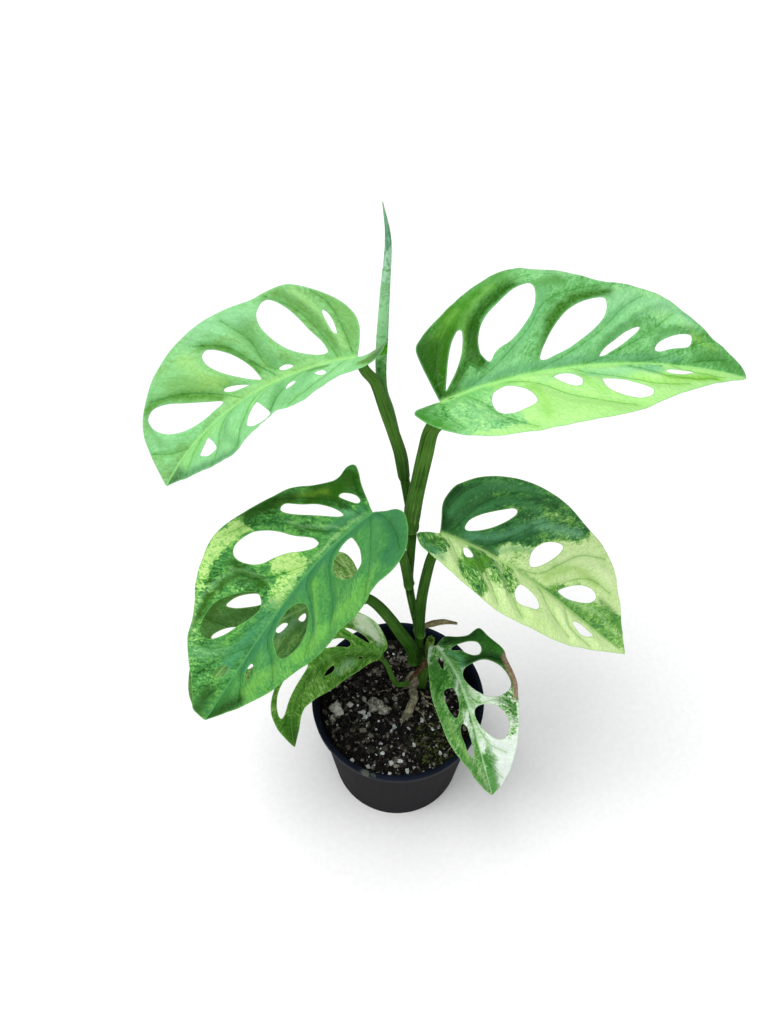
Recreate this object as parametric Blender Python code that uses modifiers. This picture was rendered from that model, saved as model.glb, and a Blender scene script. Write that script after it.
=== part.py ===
"""Variegated Monstera adansonii growing in a black nursery pot.

Lengths are in millimetres and angles in degrees until a mesh is made, which is in metres.
The origin is the middle of the pot's flat underside, +Z is up and the plant faces -Y.
"""
import math
import random
from collections import namedtuple

import bmesh
import bpy
import numpy as np
from mathutils import Matrix, Vector
from mathutils.geometry import delaunay_2d_cdt

MM = 0.001
OBJECT_NAME = "monstera_adansonii_in_pot"
FIT_GAP = 0.3

# Pot: thin moulded plastic with a thick rolled rim
POT_RIM_RADIUS = 50.0
POT_BASE_RADIUS = 40.0
POT_HEIGHT = 80.0
POT_WALL = 1.0
POT_FLOOR = 1.4
POT_FOOT_ROUNDING = 1.2
RIM_HEIGHT = 5.5
RIM_THICKNESS = 2.8
RIM_STEP = 2.0
POT_SIDES = 56
DRAIN_RADIUS = 3.5
DRAIN_CIRCLE = 27.0
DRAIN_COUNT = 6

# Soil: chunky mix whose top sits below the rim
SOIL_EDGE_Z = 67.5
SOIL_CROWN_Z = 70.5
SOIL_RINGS = 6
SOIL_SIDES = 36
SOIL_ROUGHNESS = 0.9
SOIL_FIT_GAP = 0.5
PERLITE_COUNT = 26
PERLITE_SIZE = (1.3, 2.2)
BARK_COUNT = 10
BARK_SIZE = (3.2, 5.2)
LUMP_EDGE_CLEARANCE = 5.0
SOIL_SEED = 8

# Stem: zigzag with a ring at each leaf scar, bottom to top
STEM_PATH = ((14.2, 20.5, 58.5), (14.0, 20.0, 72.5), (12.6, 19, 98.5), (10.8, 18, 122.5), (7.2, 18, 146.5),
             (4.7, 18, 167.5), (4.8, 18.2, 191.5), (5.1, 18.8, 213.5), (2.9, 19.3, 231.5), (0.8, 19, 246.5))
STEM_RADIUS = 2.1
STEM_RING_HEIGHTS = (85.5, 122.5, 167.5, 213.5)
STEM_RING_GROWTH = 0.7
STEM_RING_SPREAD = 1.5

# Blade section and mesh spacing
BLADE_THICKNESS = 0.8
MIDRIB_THICKNESS = 2.2
MIDRIB_HALF_WIDTH = 1.7
OUTLINE_SPACING = 4.4
WINDOW_SPACING = 3.8
LAMINA_SPACING = 9.5
EDGE_CLEARANCE = 2.6
WAVE_LENGTH = 37.0
FOLD_WIDTH = 35.0
PETIOLE_SEAT = 0.35

# A window is an egg-shaped hole: its end near the midrib, its outer end, its greatest width,
# where along it that width lies, and how far its middle bows sideways
Window = namedtuple("Window", "u0 v0 u1 v1 width belly bow", defaults=(0.55, 0.0))

# heading, slope and roll are (value at the base, change to the tip, squared change); a fold is
# (rise at the midrib, change towards the margin).  u runs along the midrib, v to the left of it
Leaf = namedtuple(
    "Leaf",
    "name base length heading slope roll left_fold right_fold wave curl left_edge right_edge windows petiole")
# A petiole is (radius at its foot, radius at its top, points from the foot up to the blade)
Petiole = namedtuple("Petiole", "foot_radius top_radius points")

LEAVES = (
    Leaf("upper_right", (13, 8, 300.5), 128, (15, -20, 14), (18, -43, 2), (0, 0), (35, -25), (5, 0),
         0.8, 0,
         ((-0.4, 8), (-1, 17), (1, 25.5), (11.5, 34.2), (24, 42.4), (37, 46.4), (51, 45), (66, 38.5),
          (80, 33.2), (93, 29.5), (105, 18.5), (118, 9.5)),
         ((-6, 0), (-10.5, -0.5), (-9.5, -6), (-5, -14), (4, -22), (20, -30), (43, -32), (60, -30), (76, -24),
          (97, -14), (114, -6)),
         (Window(4, 3.2, 16.5, 24.5, 3.6, 0.52), Window(20, 9.5, 44, 37, 12.5, 0.54),
          Window(40, 4.2, 68.5, 26, 11.5, 0.62), Window(62.5, 3.2, 80.5, 14.5, 3.8, 0.45),
          Window(85, 5.5, 102, 12, 6.2, 0.57), Window(88, -4.2, 101, -3.4, 3.2, 0.5),
          Window(21.5, -4.5, 31.5, -18.5, 14.5, 0.42, -1.5), Window(44, -3.4, 51, -13, 7.5, 0.42, 1),
          Window(59.5, -11.5, 76, -19, 12, 0.49)),
         Petiole(3.7, 3.0, ((3.9, 13.2, 218), (5.2, 12.0, 237.5), (7.0, 11.7, 254.5), (8.8, 11, 270.5),
                            (10.6, 9.7, 284.5)))),
    Leaf("upper_left", (-18, 10, 320.5), 99, (166, 41, 15), (-20, -25, -4), (-12, 0), (12, 0), (28, 0),
         0.7, 6,
         ((-3, 0.8), (-9, 0.8), (-15, 1.8), (-19, 4.5), (-18.5, 9.5), (-12, 8.6), (-5, 8.2), (3, 10.5),
          (11, 15), (21, 18.5), (33, 18), (43, 21), (56, 23), (66, 21.5), (77, 16), (89, 8)),
         ((-1.5, -6), (-1, -13), (5, -21), (16, -29), (27, -33), (43, -33), (58, -32.5), (68, -30), (76, -26),
          (84, -20), (90, -13), (95, -5)),
         (Window(7, -9.5, 11.5, -19.5, 2.4, 0.45), Window(12, -3.6, 31, -29.5, 13, 0.57, 3),
          Window(39, -3, 54, -23, 8, 0.62, 0.5), Window(44.5, -3.2, 55, -7.2, 2.2, 0.55),
          Window(57, -3.6, 82.5, -18.5, 12.5, 0.7, 2.5), Window(25, -3, 31.5, -5, 2.2, 0.5),
          Window(11, 5.2, 16.5, 4.8, 2.4, 0.5), Window(28.5, 4.6, 24, 8.8, 4.6, 0.4),
          Window(46, 8.5, 37, 17, 10.5, 0.34, -2), Window(69, 5.2, 76.5, 9, 6, 0.36, 3)),
         Petiole(2.4, 1.8, ((0.6, 18.9, 247.2), (-1.1, 18, 261.5), (-3.7, 16.9, 273.5), (-7.5, 14.8, 289.5),
                            (-11.2, 12.6, 305.5)))),
    Leaf("middle_left", (-13, -10, 257.5), 122, (192, 59, -21), (-39, -30, 38), (0, 0), (10, 0), (20, 0),
         0.9, 0,
         ((-6, 4), (-12, 8), (-15.5, 14), (-15, 24), (-10, 33.5), (1, 38.8), (23, 39), (46, 36.2), (65, 30.5),
          (86, 23), (101, 15.5), (114, 7)),
         ((-0.5, -6), (-1, -13), (-2.5, -21), (1, -23), (7, -21), (15, -25), (24, -32), (38, -38),
          (57, -42.5), (69, -41), (79, -36), (88, -30.5), (97, -27), (105, -20.5), (115, -9)),
         (Window(3, -7, 9, -14.5, 2.8, 0.45, -1), Window(11.5, -6, 31.5, -28.5, 6.5, 0.48),
          Window(27, -4.6, 56, -31, 13.5, 0.62), Window(62.5, -10, 92.5, -20.5, 15, 0.45, -2),
          Window(96.5, -3.8, 103.5, -7.2, 4.6, 0.54), Window(21.5, 5.5, 12.5, 24, 18, 0.36),
          Window(48, 11, 74.5, 14.5, 17.5, 0.52, 0.5), Window(87.5, 6, 97, 7.5, 5, 0.4)),
         Petiole(2.4, 1.9, ((4.3, 13.2, 171.5), (2.8, 12.2, 186.5), (-0.1, 9.3, 205.5), (-4.6, 3, 224.5),
                            (-9.3, -4.6, 243)))),
    Leaf("lower_right", (17, 4, 226.5), 118, (-2, -42, 29), (-24, -41, 28), (0, 0), (30, 0), (0, 0),
         0.7, 0,
         ((-1, 7), (-2, 15), (1.8, 23), (13.5, 32), (30, 39), (45, 40.8), (62, 37), (76, 33.4), (88, 28),
          (98, 20), (108, 9.5)),
         ((-6, -1.5), (-11.5, -4.5), (-9.5, -10), (-1, -16), (11, -22), (24, -25.5), (40, -26.5), (60, -23.5),
          (78, -19), (95, -11.5), (108, -5)),
         (Window(10.5, 5.5, 29.5, 24, 7, 0.48), Window(46, 6, 56.5, 22, 9, 0.36, 0.5),
          Window(67, 3.4, 85.5, 12.5, 8.5, 0.62, 0.5), Window(14.5, -2.6, 13.5, -8.4, 5.5, 0.42, 0.5),
          Window(43, -11, 58, -12, 10, 0.34, 0.5), Window(95, -3.8, 81, -5, 5.5, 0.55, 0.5)),
         Petiole(2.9, 2.3, ((11.7, 12.7, 126), (10.8, 13.3, 140.5), (11.4, 13, 164.5), (13.6, 10.4, 194.5),
                            (15.6, 7.2, 211.5)))),
    Leaf("low_right", (20, 8, 122.5), 91, (-54, -73, 72), (19, -114, 33), (-15, 0), (25, 0), (10, 0),
         0.7, 0,
         ((-0.5, 7), (4, 12), (7, 17), (7, 24.5), (12, 25.5), (20, 28), (31, 28.5), (41, 26.5), (52, 23.5),
          (63, 20), (74, 15), (85, 8.5)),
         ((-1, -3), (4, -8), (12, -13.5), (23, -19), (34, -21), (46, -20), (56, -17), (68, -11), (80, -6)),
         (Window(8, 4.5, 16, 18.5, 7.5, 0.62, 0.5), Window(22, 3.5, 36, 24, 17, 0.51),
          Window(41, 3, 59, 14.5, 13.5, 0.53, 2), Window(10, -2.8, 17, -6.2, 4.6, 0.42, -1),
          Window(28, -9.5, 43, -10.5, 9, 0.42, 0.5), Window(64, -5.5, 46.5, -7, 6, 0.48, 1)),
         Petiole(3.3, 2.0, ((14.3, 13.0, 59.5), (14.6, 12.6, 72.5), (15.6, 11.4, 90.5), (17.8, 9.6, 107.5)))),
    Leaf("low_left", (-9, 12, 107.5), 94, (165, 107, 24), (12, -85, 5), (-10, 0), (5, 0), (20, 0),
         0.5, 0,
         ((1, 4), (6, 7.5), (21, 15), (34, 16.5), (45, 15.5), (57, 11), (68, 6.5), (82, 4.5)),
         ((-1.5, -4), (2, -10), (8, -17), (18, -22), (31, -21), (42, -16.5), (54, -13), (68, -12.5),
          (76, -9.5), (85, -4.5)),
         (Window(42.5, -4.2, 74, -6.4, 8.4, 0.48, -0.5), Window(17.5, -3.4, 31, -6.6, 5.6, 0.4, -1),
          Window(8, -4, 20, -13, 3.2, 0.52), Window(29.5, 7, 39.5, 8.5, 3, 0.45)),
         Petiole(1.7, 1.4, ((8.3, 13.0, 61.5), (7.9, 12.2, 72.5), (3.6, 9.6, 75.3), (-0.6, 8.6, 77.5),
                            (-3.4, 9.2, 85.5), (-6.7, 10.9, 97.5)))),
    Leaf("rear_left", (-21, 0, 187.5), 116, (181, 38, -3), (-18, -42, 8), (0, 0), (12, 0), (20, 0),
         0.7, 0,
         ((-1.5, 5), (-2, 10), (1.5, 15.5), (10, 21), (23.5, 26), (41, 28), (63.5, 26), (89, 18.5),
          (107, 8.5)),
         ((-1, -5), (-1, -11), (3, -19), (10, -22), (19, -21.5), (29.5, -21), (43, -24), (53, -28.5),
          (65, -30.5), (74, -29.6), (83, -25.2), (92.5, -18.5), (109, -7.5)),
         (Window(46.5, -13.5, 64, -22.5, 7.5, 0.5), Window(65, -9.5, 79.5, -15.5, 4, 0.5),
          Window(28.8, 3.2, 30, 9, 4.6, 0.5), Window(40.5, 2.8, 46, 6.6, 4.4, 0.5),
          Window(14, 4, 18, 15, 5, 0.55), Window(13, -4, 21, -14, 5, 0.5), Window(54, 7, 66, 16, 7, 0.5)),
         Petiole(3.6, 2.5, ((9.5, 14.5, 94.5), (6.7, 12.8, 113.5), (0.0, 10, 134.5), (-5, 7, 151.5),
                            (-10.8, 3.5, 168.5), (-15.7, 1.7, 177.5)))),
)

# Furled new leaf, standing out of the sheath of the upper left petiole
SPIKE_POINTS = ((-6.0, 20.0, 285.5), (-8.6, 18.8, 296.5), (-9.2, 17.4, 310.5), (-8.9, 16.7, 322.5),
                (-7.8, 16.3, 343.5), (-6.8, 16, 362.5), (-8.5, 16, 375.5))
SPIKE_RADII = (1.7, 2.2, 2.3, 2.3, 2.0, 1.4, 0.5)

# Dead leaf base beside the stem and the woody root that lies over the soil
STUB_POINTS = ((16.9, 18.2, 93.5), (17.4, 17.2, 104.5), (18.1, 16.6, 114.5))
STUB_RADII = (1.6, 2.2, 2.1)
ROOT_POINTS = ((8.6, 8.0, 61.5), (8.9, 7.0, 71.5), (9.6, 2, 73), (6.4, -6, 72), (1.6, -11.5, 65.5))
ROOT_RADII = (2.2, 2.5, 2.4, 2.2, 1.8)
ROOT_SPACING = 5.0
STALK_SPACING = 9.0

# Papery dry sheath that curls off the lowest leaf scar
SHEATH_PATH = ((13.2, 18.6, 124.8), (19, 18.6, 127.5), (25, 18.3, 129.8), (32, 18, 129))
SHEATH_WIDTHS = (2.2, 3.4, 3.0, 1.2)
SHEATH_THICKNESS = 0.7


def clear_scene():
    for scene_object in list(bpy.data.objects):
        bpy.data.objects.remove(scene_object, do_unlink=True)


def make_collection(name):
    collection = bpy.data.collections.new(name)
    bpy.context.scene.collection.children.link(collection)
    return collection


def make_material(name, colour, roughness):
    material = bpy.data.materials.new(name)
    material.use_nodes = True
    shader = material.node_tree.nodes["Principled BSDF"]
    shader.inputs["Base Color"].default_value = (*colour, 1.0)
    shader.inputs["Roughness"].default_value = roughness
    shader.inputs["Metallic"].default_value = 0.0
    return material


def add_mesh_object(name, mesh, material, collection):
    mesh_object = bpy.data.objects.new(name, mesh)
    if material is not None:
        mesh.materials.append(material)
    collection.objects.link(mesh_object)
    return mesh_object


def smooth_path(points, spacing):
    """Points along a Catmull-Rom curve through the given ones, about spacing apart."""
    given = np.array(points, float)
    padded = np.vstack([2 * given[0] - given[1], given, 2 * given[-1] - given[-2]])
    path = [given[0]]
    for before, start, end, after in zip(padded, padded[1:], padded[2:], padded[3:]):
        count = max(1, round(float(np.linalg.norm(end - start)) / spacing))
        for step in range(1, count + 1):
            t = step / count
            path.append(0.5 * (2 * start + (end - before) * t
                               + (2 * before - 5 * start + 4 * end - after) * t ** 2
                               + (3 * start - before - 3 * end + after) * t ** 3))
    return np.array(path)


def path_lengths(path):
    steps = np.linalg.norm(np.diff(path, axis=0), axis=1)
    return np.concatenate([[0.0], np.cumsum(steps)])


def add_tube(name, path, radii, material, collection):
    """A round stalk with its own radius at every point of its path."""
    curve = bpy.data.curves.new(name, "CURVE")
    curve.dimensions = "3D"
    curve.bevel_depth = MM
    curve.bevel_resolution = 2
    curve.use_fill_caps = True
    spline = curve.splines.new("POLY")
    spline.points.add(len(path) - 1)
    for point, place, radius in zip(spline.points, path, radii):
        point.co = (*(place * MM), 1.0)
        point.radius = radius
    tube = bpy.data.objects.new(name, curve)
    if material is not None:
        curve.materials.append(material)
    collection.objects.link(tube)
    return tube


def add_stalk(name, points, radii, material, collection, spacing=STALK_SPACING):
    path = smooth_path(points, spacing)
    given = path_lengths(np.array(points, float))
    along = path_lengths(path)
    widths = np.interp(along / along[-1], given / given[-1], radii)
    return add_tube(name, path, widths, material, collection)


def curve_to_mesh(curve_object, collection):
    """The same solid as a mesh with its caps welded, so that it can be a cutter."""
    depsgraph = bpy.context.evaluated_depsgraph_get()
    mesh = bpy.data.meshes.new_from_object(curve_object.evaluated_get(depsgraph))
    weld_and_face_out(mesh)
    mesh_object = bpy.data.objects.new(curve_object.name + "_cutter", mesh)
    mesh_object.matrix_world = curve_object.matrix_world
    collection.objects.link(mesh_object)
    bpy.data.objects.remove(curve_object, do_unlink=True)
    return mesh_object


def weld_and_face_out(mesh):
    shape = bmesh.new()
    shape.from_mesh(mesh)
    bmesh.ops.remove_doubles(shape, verts=shape.verts, dist=0.01 * MM)
    bmesh.ops.recalc_face_normals(shape, faces=shape.faces)
    shape.to_mesh(mesh)
    shape.free()


def add_turned(name, profile, sides, material, collection):
    """A profile of (radius, height) points turned about the Z axis."""
    mesh = bpy.data.meshes.new(name)
    vertices = [(radius * MM, 0.0, height * MM) for radius, height in profile]
    mesh.from_pydata(vertices, [(i, i + 1) for i in range(len(vertices) - 1)], [])
    turned = add_mesh_object(name, mesh, material, collection)
    screw = turned.modifiers.new("turn", "SCREW")
    screw.steps = sides
    screw.render_steps = sides
    screw.use_merge_vertices = True
    screw.merge_threshold = 0.00005
    return turned


def add_boolean(target, operation, solver="EXACT", cutter=None, collection=None):
    boolean = target.modifiers.new(operation.lower(), "BOOLEAN")
    boolean.operation = operation
    boolean.solver = solver
    if collection is not None:
        boolean.operand_type = "COLLECTION"
        boolean.collection = collection
    else:
        boolean.object = cutter
    return boolean


def apply_modifiers(target):
    depsgraph = bpy.context.evaluated_depsgraph_get()
    mesh = bpy.data.meshes.new_from_object(target.evaluated_get(depsgraph))
    target.modifiers.clear()
    target.data = mesh


# Pot


def rounded_corner(centre, radius, start, end, count):
    angles = np.radians(np.linspace(start, end, count))
    return [(centre[0] + radius * math.cos(a), centre[1] + radius * math.sin(a)) for a in angles]


def pot_profile():
    """Outer side from the rim down, across the underside, then up the inside."""
    under_rim_radius = POT_RIM_RADIUS - RIM_STEP - 1.0
    rim_bottom = POT_HEIGHT - RIM_HEIGHT
    foot_centre = (POT_BASE_RADIUS - POT_FOOT_ROUNDING, POT_FOOT_ROUNDING)
    profile = [(POT_RIM_RADIUS - RIM_THICKNESS + 0.6, POT_HEIGHT),
               (POT_RIM_RADIUS - 0.6, POT_HEIGHT),
               (POT_RIM_RADIUS, POT_HEIGHT - 0.8),
               (POT_RIM_RADIUS - 0.3, rim_bottom),
               (under_rim_radius, rim_bottom)]
    profile += rounded_corner(foot_centre, POT_FOOT_ROUNDING, 0, -90, 4)
    profile += [(0.0, 0.0), (0.0, POT_FLOOR),
                (POT_BASE_RADIUS - POT_FOOT_ROUNDING, POT_FLOOR),
                (POT_BASE_RADIUS - POT_WALL, POT_FLOOR + POT_FOOT_ROUNDING),
                (under_rim_radius - POT_WALL, rim_bottom + 0.4),
                (POT_RIM_RADIUS - RIM_THICKNESS, POT_HEIGHT - 0.8)]
    return profile + profile[:1]


def pot_inner_radius(height):
    """Radius of the inside of the wall at a height between the floor and the rim's underside."""
    low = (POT_BASE_RADIUS - POT_WALL, POT_FLOOR + POT_FOOT_ROUNDING)
    high = (POT_RIM_RADIUS - RIM_STEP - 1.0 - POT_WALL, POT_HEIGHT - RIM_HEIGHT + 0.4)
    return float(np.interp(height, (low[1], high[1]), (low[0], high[0])))


def build_pot(material, collection, cutters):
    pot = add_turned("pot", pot_profile(), POT_SIDES, material, collection)
    holes = bmesh.new()
    for index in range(DRAIN_COUNT):
        angle = math.tau * (index + 0.5) / DRAIN_COUNT
        place = Matrix.Translation(Vector((math.cos(angle), math.sin(angle), 0)) * DRAIN_CIRCLE * MM)
        bmesh.ops.create_cone(holes, cap_ends=True, segments=10, radius1=DRAIN_RADIUS * MM,
                              radius2=DRAIN_RADIUS * MM, depth=4 * POT_FLOOR * MM, matrix=place)
    mesh = bpy.data.meshes.new("drain_holes")
    holes.to_mesh(mesh)
    holes.free()
    cutter = add_mesh_object("drain_holes", mesh, None, cutters)
    hide_cutter(cutter)
    add_boolean(pot, "DIFFERENCE", cutter=cutter)
    return pot


def hide_cutter(cutter):
    cutter.hide_render = True
    cutter.display_type = "WIRE"


# Soil


def soil_height(x, y, draw=None):
    """Domed top with low lumps, in waves of a few centimetres."""
    dome = SOIL_CROWN_Z - (SOIL_CROWN_Z - SOIL_EDGE_Z) * (x * x + y * y) / POT_BASE_RADIUS ** 2
    lumps = math.sin(0.21 * x + 0.4) * math.cos(0.25 * y - 0.7) + 0.5 * math.sin(0.47 * x - 0.39 * y)
    jitter = draw.uniform(-0.5, 0.5) if draw else 0.0
    return dome + SOIL_ROUGHNESS * (lumps + jitter)


def soil_profile():
    """From the middle of the top out to the edge, down the side and in across the underside."""
    floor = POT_FLOOR + FIT_GAP
    foot = POT_FLOOR + POT_FOOT_ROUNDING
    edge_radius = pot_inner_radius(SOIL_EDGE_Z) - SOIL_FIT_GAP
    foot_radius = pot_inner_radius(foot) - SOIL_FIT_GAP
    top = [(edge_radius * k / SOIL_RINGS, SOIL_EDGE_Z) for k in range(SOIL_RINGS + 1)]
    return top + [(foot_radius, foot), (foot_radius - POT_FOOT_ROUNDING, floor), (0.0, floor)]


def build_soil(material, collection, stalk_cutters):
    draw = random.Random(SOIL_SEED)
    soil = add_turned("soil", soil_profile(), SOIL_SIDES, material, collection)
    apply_modifiers(soil)
    for vertex in soil.data.vertices:
        x, y, z = vertex.co / MM
        if z > SOIL_EDGE_Z - 0.1:
            vertex.co.z = soil_height(x, y, draw) * MM
    reach = pot_inner_radius(SOIL_EDGE_Z) - LUMP_EDGE_CLEARANCE
    lumps = make_collection("soil_lumps")
    sizes = [BARK_SIZE] * BARK_COUNT + [PERLITE_SIZE] * PERLITE_COUNT
    for index, (smallest, largest) in enumerate(sizes):
        add_lump(f"lump_{index}", draw, smallest, largest, reach, lumps)
    add_boolean(soil, "UNION", solver="MANIFOLD", collection=lumps)
    apply_modifiers(soil)
    for lump in list(lumps.objects):
        bpy.data.objects.remove(lump, do_unlink=True)
    bpy.data.collections.remove(lumps)
    for cutter in stalk_cutters:
        add_boolean(soil, "DIFFERENCE", solver="MANIFOLD", cutter=cutter)
    return soil


def add_lump(name, draw, smallest, largest, reach, collection):
    """One grain of perlite or bark, an uneven squashed ball sunk by a third into the soil."""
    size = draw.uniform(smallest, largest)
    radius = reach * math.sqrt(draw.uniform(0.02, 1.0))
    angle = draw.uniform(0, math.tau)
    x, y = radius * math.cos(angle), radius * math.sin(angle)
    squash = Vector((draw.uniform(0.8, 1.2), draw.uniform(0.7, 1.0), draw.uniform(0.55, 0.8)))
    place = (Matrix.Translation(Vector((x, y, soil_height(x, y) + 0.15 * size)) * MM)
             @ Matrix.Rotation(draw.uniform(0, math.tau), 4, "Z")
             @ Matrix.Diagonal((*(squash * size * MM), 1.0)))
    shape = bmesh.new()
    bmesh.ops.create_icosphere(shape, subdivisions=1, radius=1.0, matrix=place)
    mesh = bpy.data.meshes.new(name)
    shape.to_mesh(mesh)
    shape.free()
    add_mesh_object(name, mesh, None, collection)


# Leaves


class BladeForm:
    """Maps a place (u, v) on the flat leaf to its place on the folded, drooping blade."""

    STEPS = 96

    def __init__(self, leaf):
        self.leaf = leaf
        self.along = np.linspace(0, leaf.length, self.STEPS)
        part = self.along / leaf.length
        heading = np.radians(leaf.heading[0] + leaf.heading[1] * part + leaf.heading[2] * part ** 2)
        slope = np.radians(leaf.slope[0] + leaf.slope[1] * part + leaf.slope[2] * part ** 2)
        roll = np.radians(leaf.roll[0] + leaf.roll[1] * part)[:, None]
        self.tangent = np.stack([np.cos(slope) * np.cos(heading), np.cos(slope) * np.sin(heading),
                                 np.sin(slope)], axis=1)
        level = np.stack([-np.sin(heading), np.cos(heading), 0 * heading], axis=1)
        upright = np.cross(self.tangent, level)
        self.across = np.cos(roll) * level + np.sin(roll) * upright
        self.normal = np.cos(roll) * upright - np.sin(roll) * level
        step = leaf.length / (self.STEPS - 1)
        moves = step * 0.5 * (self.tangent[1:] + self.tangent[:-1])
        self.spine = np.array(leaf.base, float) + np.vstack([np.zeros(3), np.cumsum(moves, axis=0)])

    def at(self, table, u):
        return np.array([np.interp(u, self.along, table[:, axis]) for axis in range(3)])

    def place(self, u, v):
        leaf = self.leaf
        on_spine = min(max(u, 0.0), leaf.length)
        centre = self.at(self.spine, on_spine) + self.at(self.tangent, on_spine) * (u - on_spine)
        rise, bend = leaf.left_fold if v >= 0 else leaf.right_fold
        start = math.radians(rise)
        rate = math.radians(bend) / FOLD_WIDTH or 1e-6
        reach = abs(v)
        outward = (math.sin(start + rate * reach) - math.sin(start)) / rate
        upward = (math.cos(start) - math.cos(start + rate * reach)) / rate
        side = 1 if v >= 0 else -1
        ripple = math.sin(math.tau * u / WAVE_LENGTH + side) * (reach / FOLD_WIDTH) ** 2
        upward += leaf.wave * ripple + leaf.curl * (min(u, 0.0) / 12.0) ** 2
        across, normal = self.at(self.across, on_spine), self.at(self.normal, on_spine)
        return centre + side * outward * across + upward * normal

    def seat(self, depth):
        """A point straight under the blade's base, depth below its upper face."""
        return np.array(self.leaf.base, float) - depth * self.normal[0]


def edge_points(leaf, side_points):
    flat = smooth_path([(0, 0)] + list(side_points) + [(leaf.length, 0)], 1.0)
    lengths = path_lengths(flat)
    count = max(4, round(lengths[-1] / OUTLINE_SPACING))
    wanted = np.linspace(0, lengths[-1], count + 1)
    u, v = np.interp(wanted, lengths, flat[:, 0]), np.interp(wanted, lengths, flat[:, 1])
    return list(zip(u.tolist(), v.tolist()))


def blade_outline(leaf):
    left = edge_points(leaf, leaf.left_edge)
    right = edge_points(leaf, leaf.right_edge)
    return left + right[-2:0:-1]


def window_outline(window):
    """Egg-shaped loop that is pointed towards the midrib."""
    axis = Vector((window.u1 - window.u0, window.v1 - window.v0))
    length = axis.length
    sideways = Vector((-axis.y, axis.x)) / length
    count = max(8, round(2.3 * (length + 0.6 * window.width) / WINDOW_SPACING))
    power = math.log(window.belly) / math.log(0.5)
    loop = []
    for index in range(count):
        angle = math.tau * index / count
        t = ((1 - math.cos(angle)) / 2) ** power
        offset = window.width / 2 * math.sin(angle) + window.bow * 4 * t * (1 - t)
        point = Vector((window.u0, window.v0)) + axis * t + sideways * offset
        loop.append((point.x, point.y))
    return loop


def inside(point, loop):
    x, y = point
    crossed = False
    for (x0, y0), (x1, y1) in zip(loop, loop[1:] + loop[:1]):
        if (y0 > y) != (y1 > y) and x < x0 + (x1 - x0) * (y - y0) / (y1 - y0):
            crossed = not crossed
    return crossed


def nearest(point, points):
    return float(np.sqrt(((points - np.array(point)) ** 2).sum(axis=1).min()))


def midrib_points(leaf):
    count = round(leaf.length / (LAMINA_SPACING * 0.75))
    return [(leaf.length * k / count, 0.0) for k in range(1, count)]


def lamina_points(leaf, border, windows, outline):
    """A staggered grid over the blade, clear of the midrib, the margin and the windows."""
    half = MIDRIB_HALF_WIDTH
    candidates = [(u, side * half) for u, _ in midrib_points(leaf)[:-1] for side in (-1, 1)]
    rows = np.arange(-50, 51, LAMINA_SPACING)
    for row_index, v in enumerate(rows):
        shift = 0.5 * LAMINA_SPACING * (row_index % 2)
        for u in np.arange(-20 + shift, leaf.length, LAMINA_SPACING):
            if abs(v) > half + 2.5:
                candidates.append((float(u), float(v)))
    kept = []
    for point in candidates:
        clear = nearest(point, border) > (EDGE_CLEARANCE if abs(point[1]) > half else 0.9)
        if clear and inside(point, outline) and not any(inside(point, hole) for hole in windows):
            kept.append(point)
    return kept


def blade_mesh(leaf, form):
    outline = blade_outline(leaf)
    windows = [window_outline(window) for window in leaf.windows]
    border = np.array(outline + [point for hole in windows for point in hole])
    midrib = [point for point in midrib_points(leaf) if nearest(point, border) > 0.9]
    points = list(outline)
    edges = [(i, (i + 1) % len(outline)) for i in range(len(outline))]
    for hole in windows:
        first = len(points)
        points += hole
        edges += [(first + i, first + (i + 1) % len(hole)) for i in range(len(hole))]
    first = len(points)
    points += midrib
    edges += [(first + i, first + i + 1) for i in range(len(midrib) - 1)]
    points += lamina_points(leaf, border, windows, outline)
    flat, _, faces, _, _, _ = delaunay_2d_cdt([Vector(p) for p in points], edges, [], 1, 1e-4)
    kept = []
    for face in faces:
        middle = sum((flat[i] for i in face), Vector((0, 0))) / len(face)
        if inside(middle, outline) and not any(inside(middle, hole) for hole in windows):
            kept.append(face)
    mesh = bpy.data.meshes.new("blade_" + leaf.name)
    mesh.from_pydata([form.place(p.x, p.y) * MM for p in flat], [], kept)
    ribbed = [i for i, p in enumerate(flat) if abs(p.y) < 0.05 and p.x < leaf.length - 1]
    return mesh, ribbed


def build_blade(leaf, form, material, collection):
    mesh, ribbed = blade_mesh(leaf, form)
    blade = add_mesh_object("blade_" + leaf.name, mesh, material, collection)
    remove_loose_vertices(blade, ribbed)
    solidify = blade.modifiers.new("thickness", "SOLIDIFY")
    solidify.thickness = MIDRIB_THICKNESS * MM
    solidify.offset = -1
    solidify.vertex_group = "midrib"
    solidify.thickness_vertex_group = BLADE_THICKNESS / MIDRIB_THICKNESS
    return blade


def remove_loose_vertices(blade, ribbed):
    """Drops points that no triangle uses, and marks the midrib for its greater thickness."""
    group = blade.vertex_groups.new(name="midrib")
    group.add(ribbed, 1.0, "REPLACE")
    shape = bmesh.new()
    shape.from_mesh(blade.data)
    loose = [vertex for vertex in shape.verts if not vertex.link_faces]
    bmesh.ops.delete(shape, geom=loose, context="VERTS")
    bmesh.ops.recalc_face_normals(shape, faces=shape.faces)
    upward = sum((face.normal.z * face.calc_area() for face in shape.faces), 0.0)
    if upward < 0:
        bmesh.ops.reverse_faces(shape, faces=shape.faces)
    shape.to_mesh(blade.data)
    shape.free()


def petiole_points(leaf, form):
    """The foot's own points, then up to a seat squarely under the blade."""
    seat = MIDRIB_THICKNESS + PETIOLE_SEAT
    return [*leaf.petiole.points, tuple(form.seat(seat + 6)), tuple(form.seat(seat))]


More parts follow.
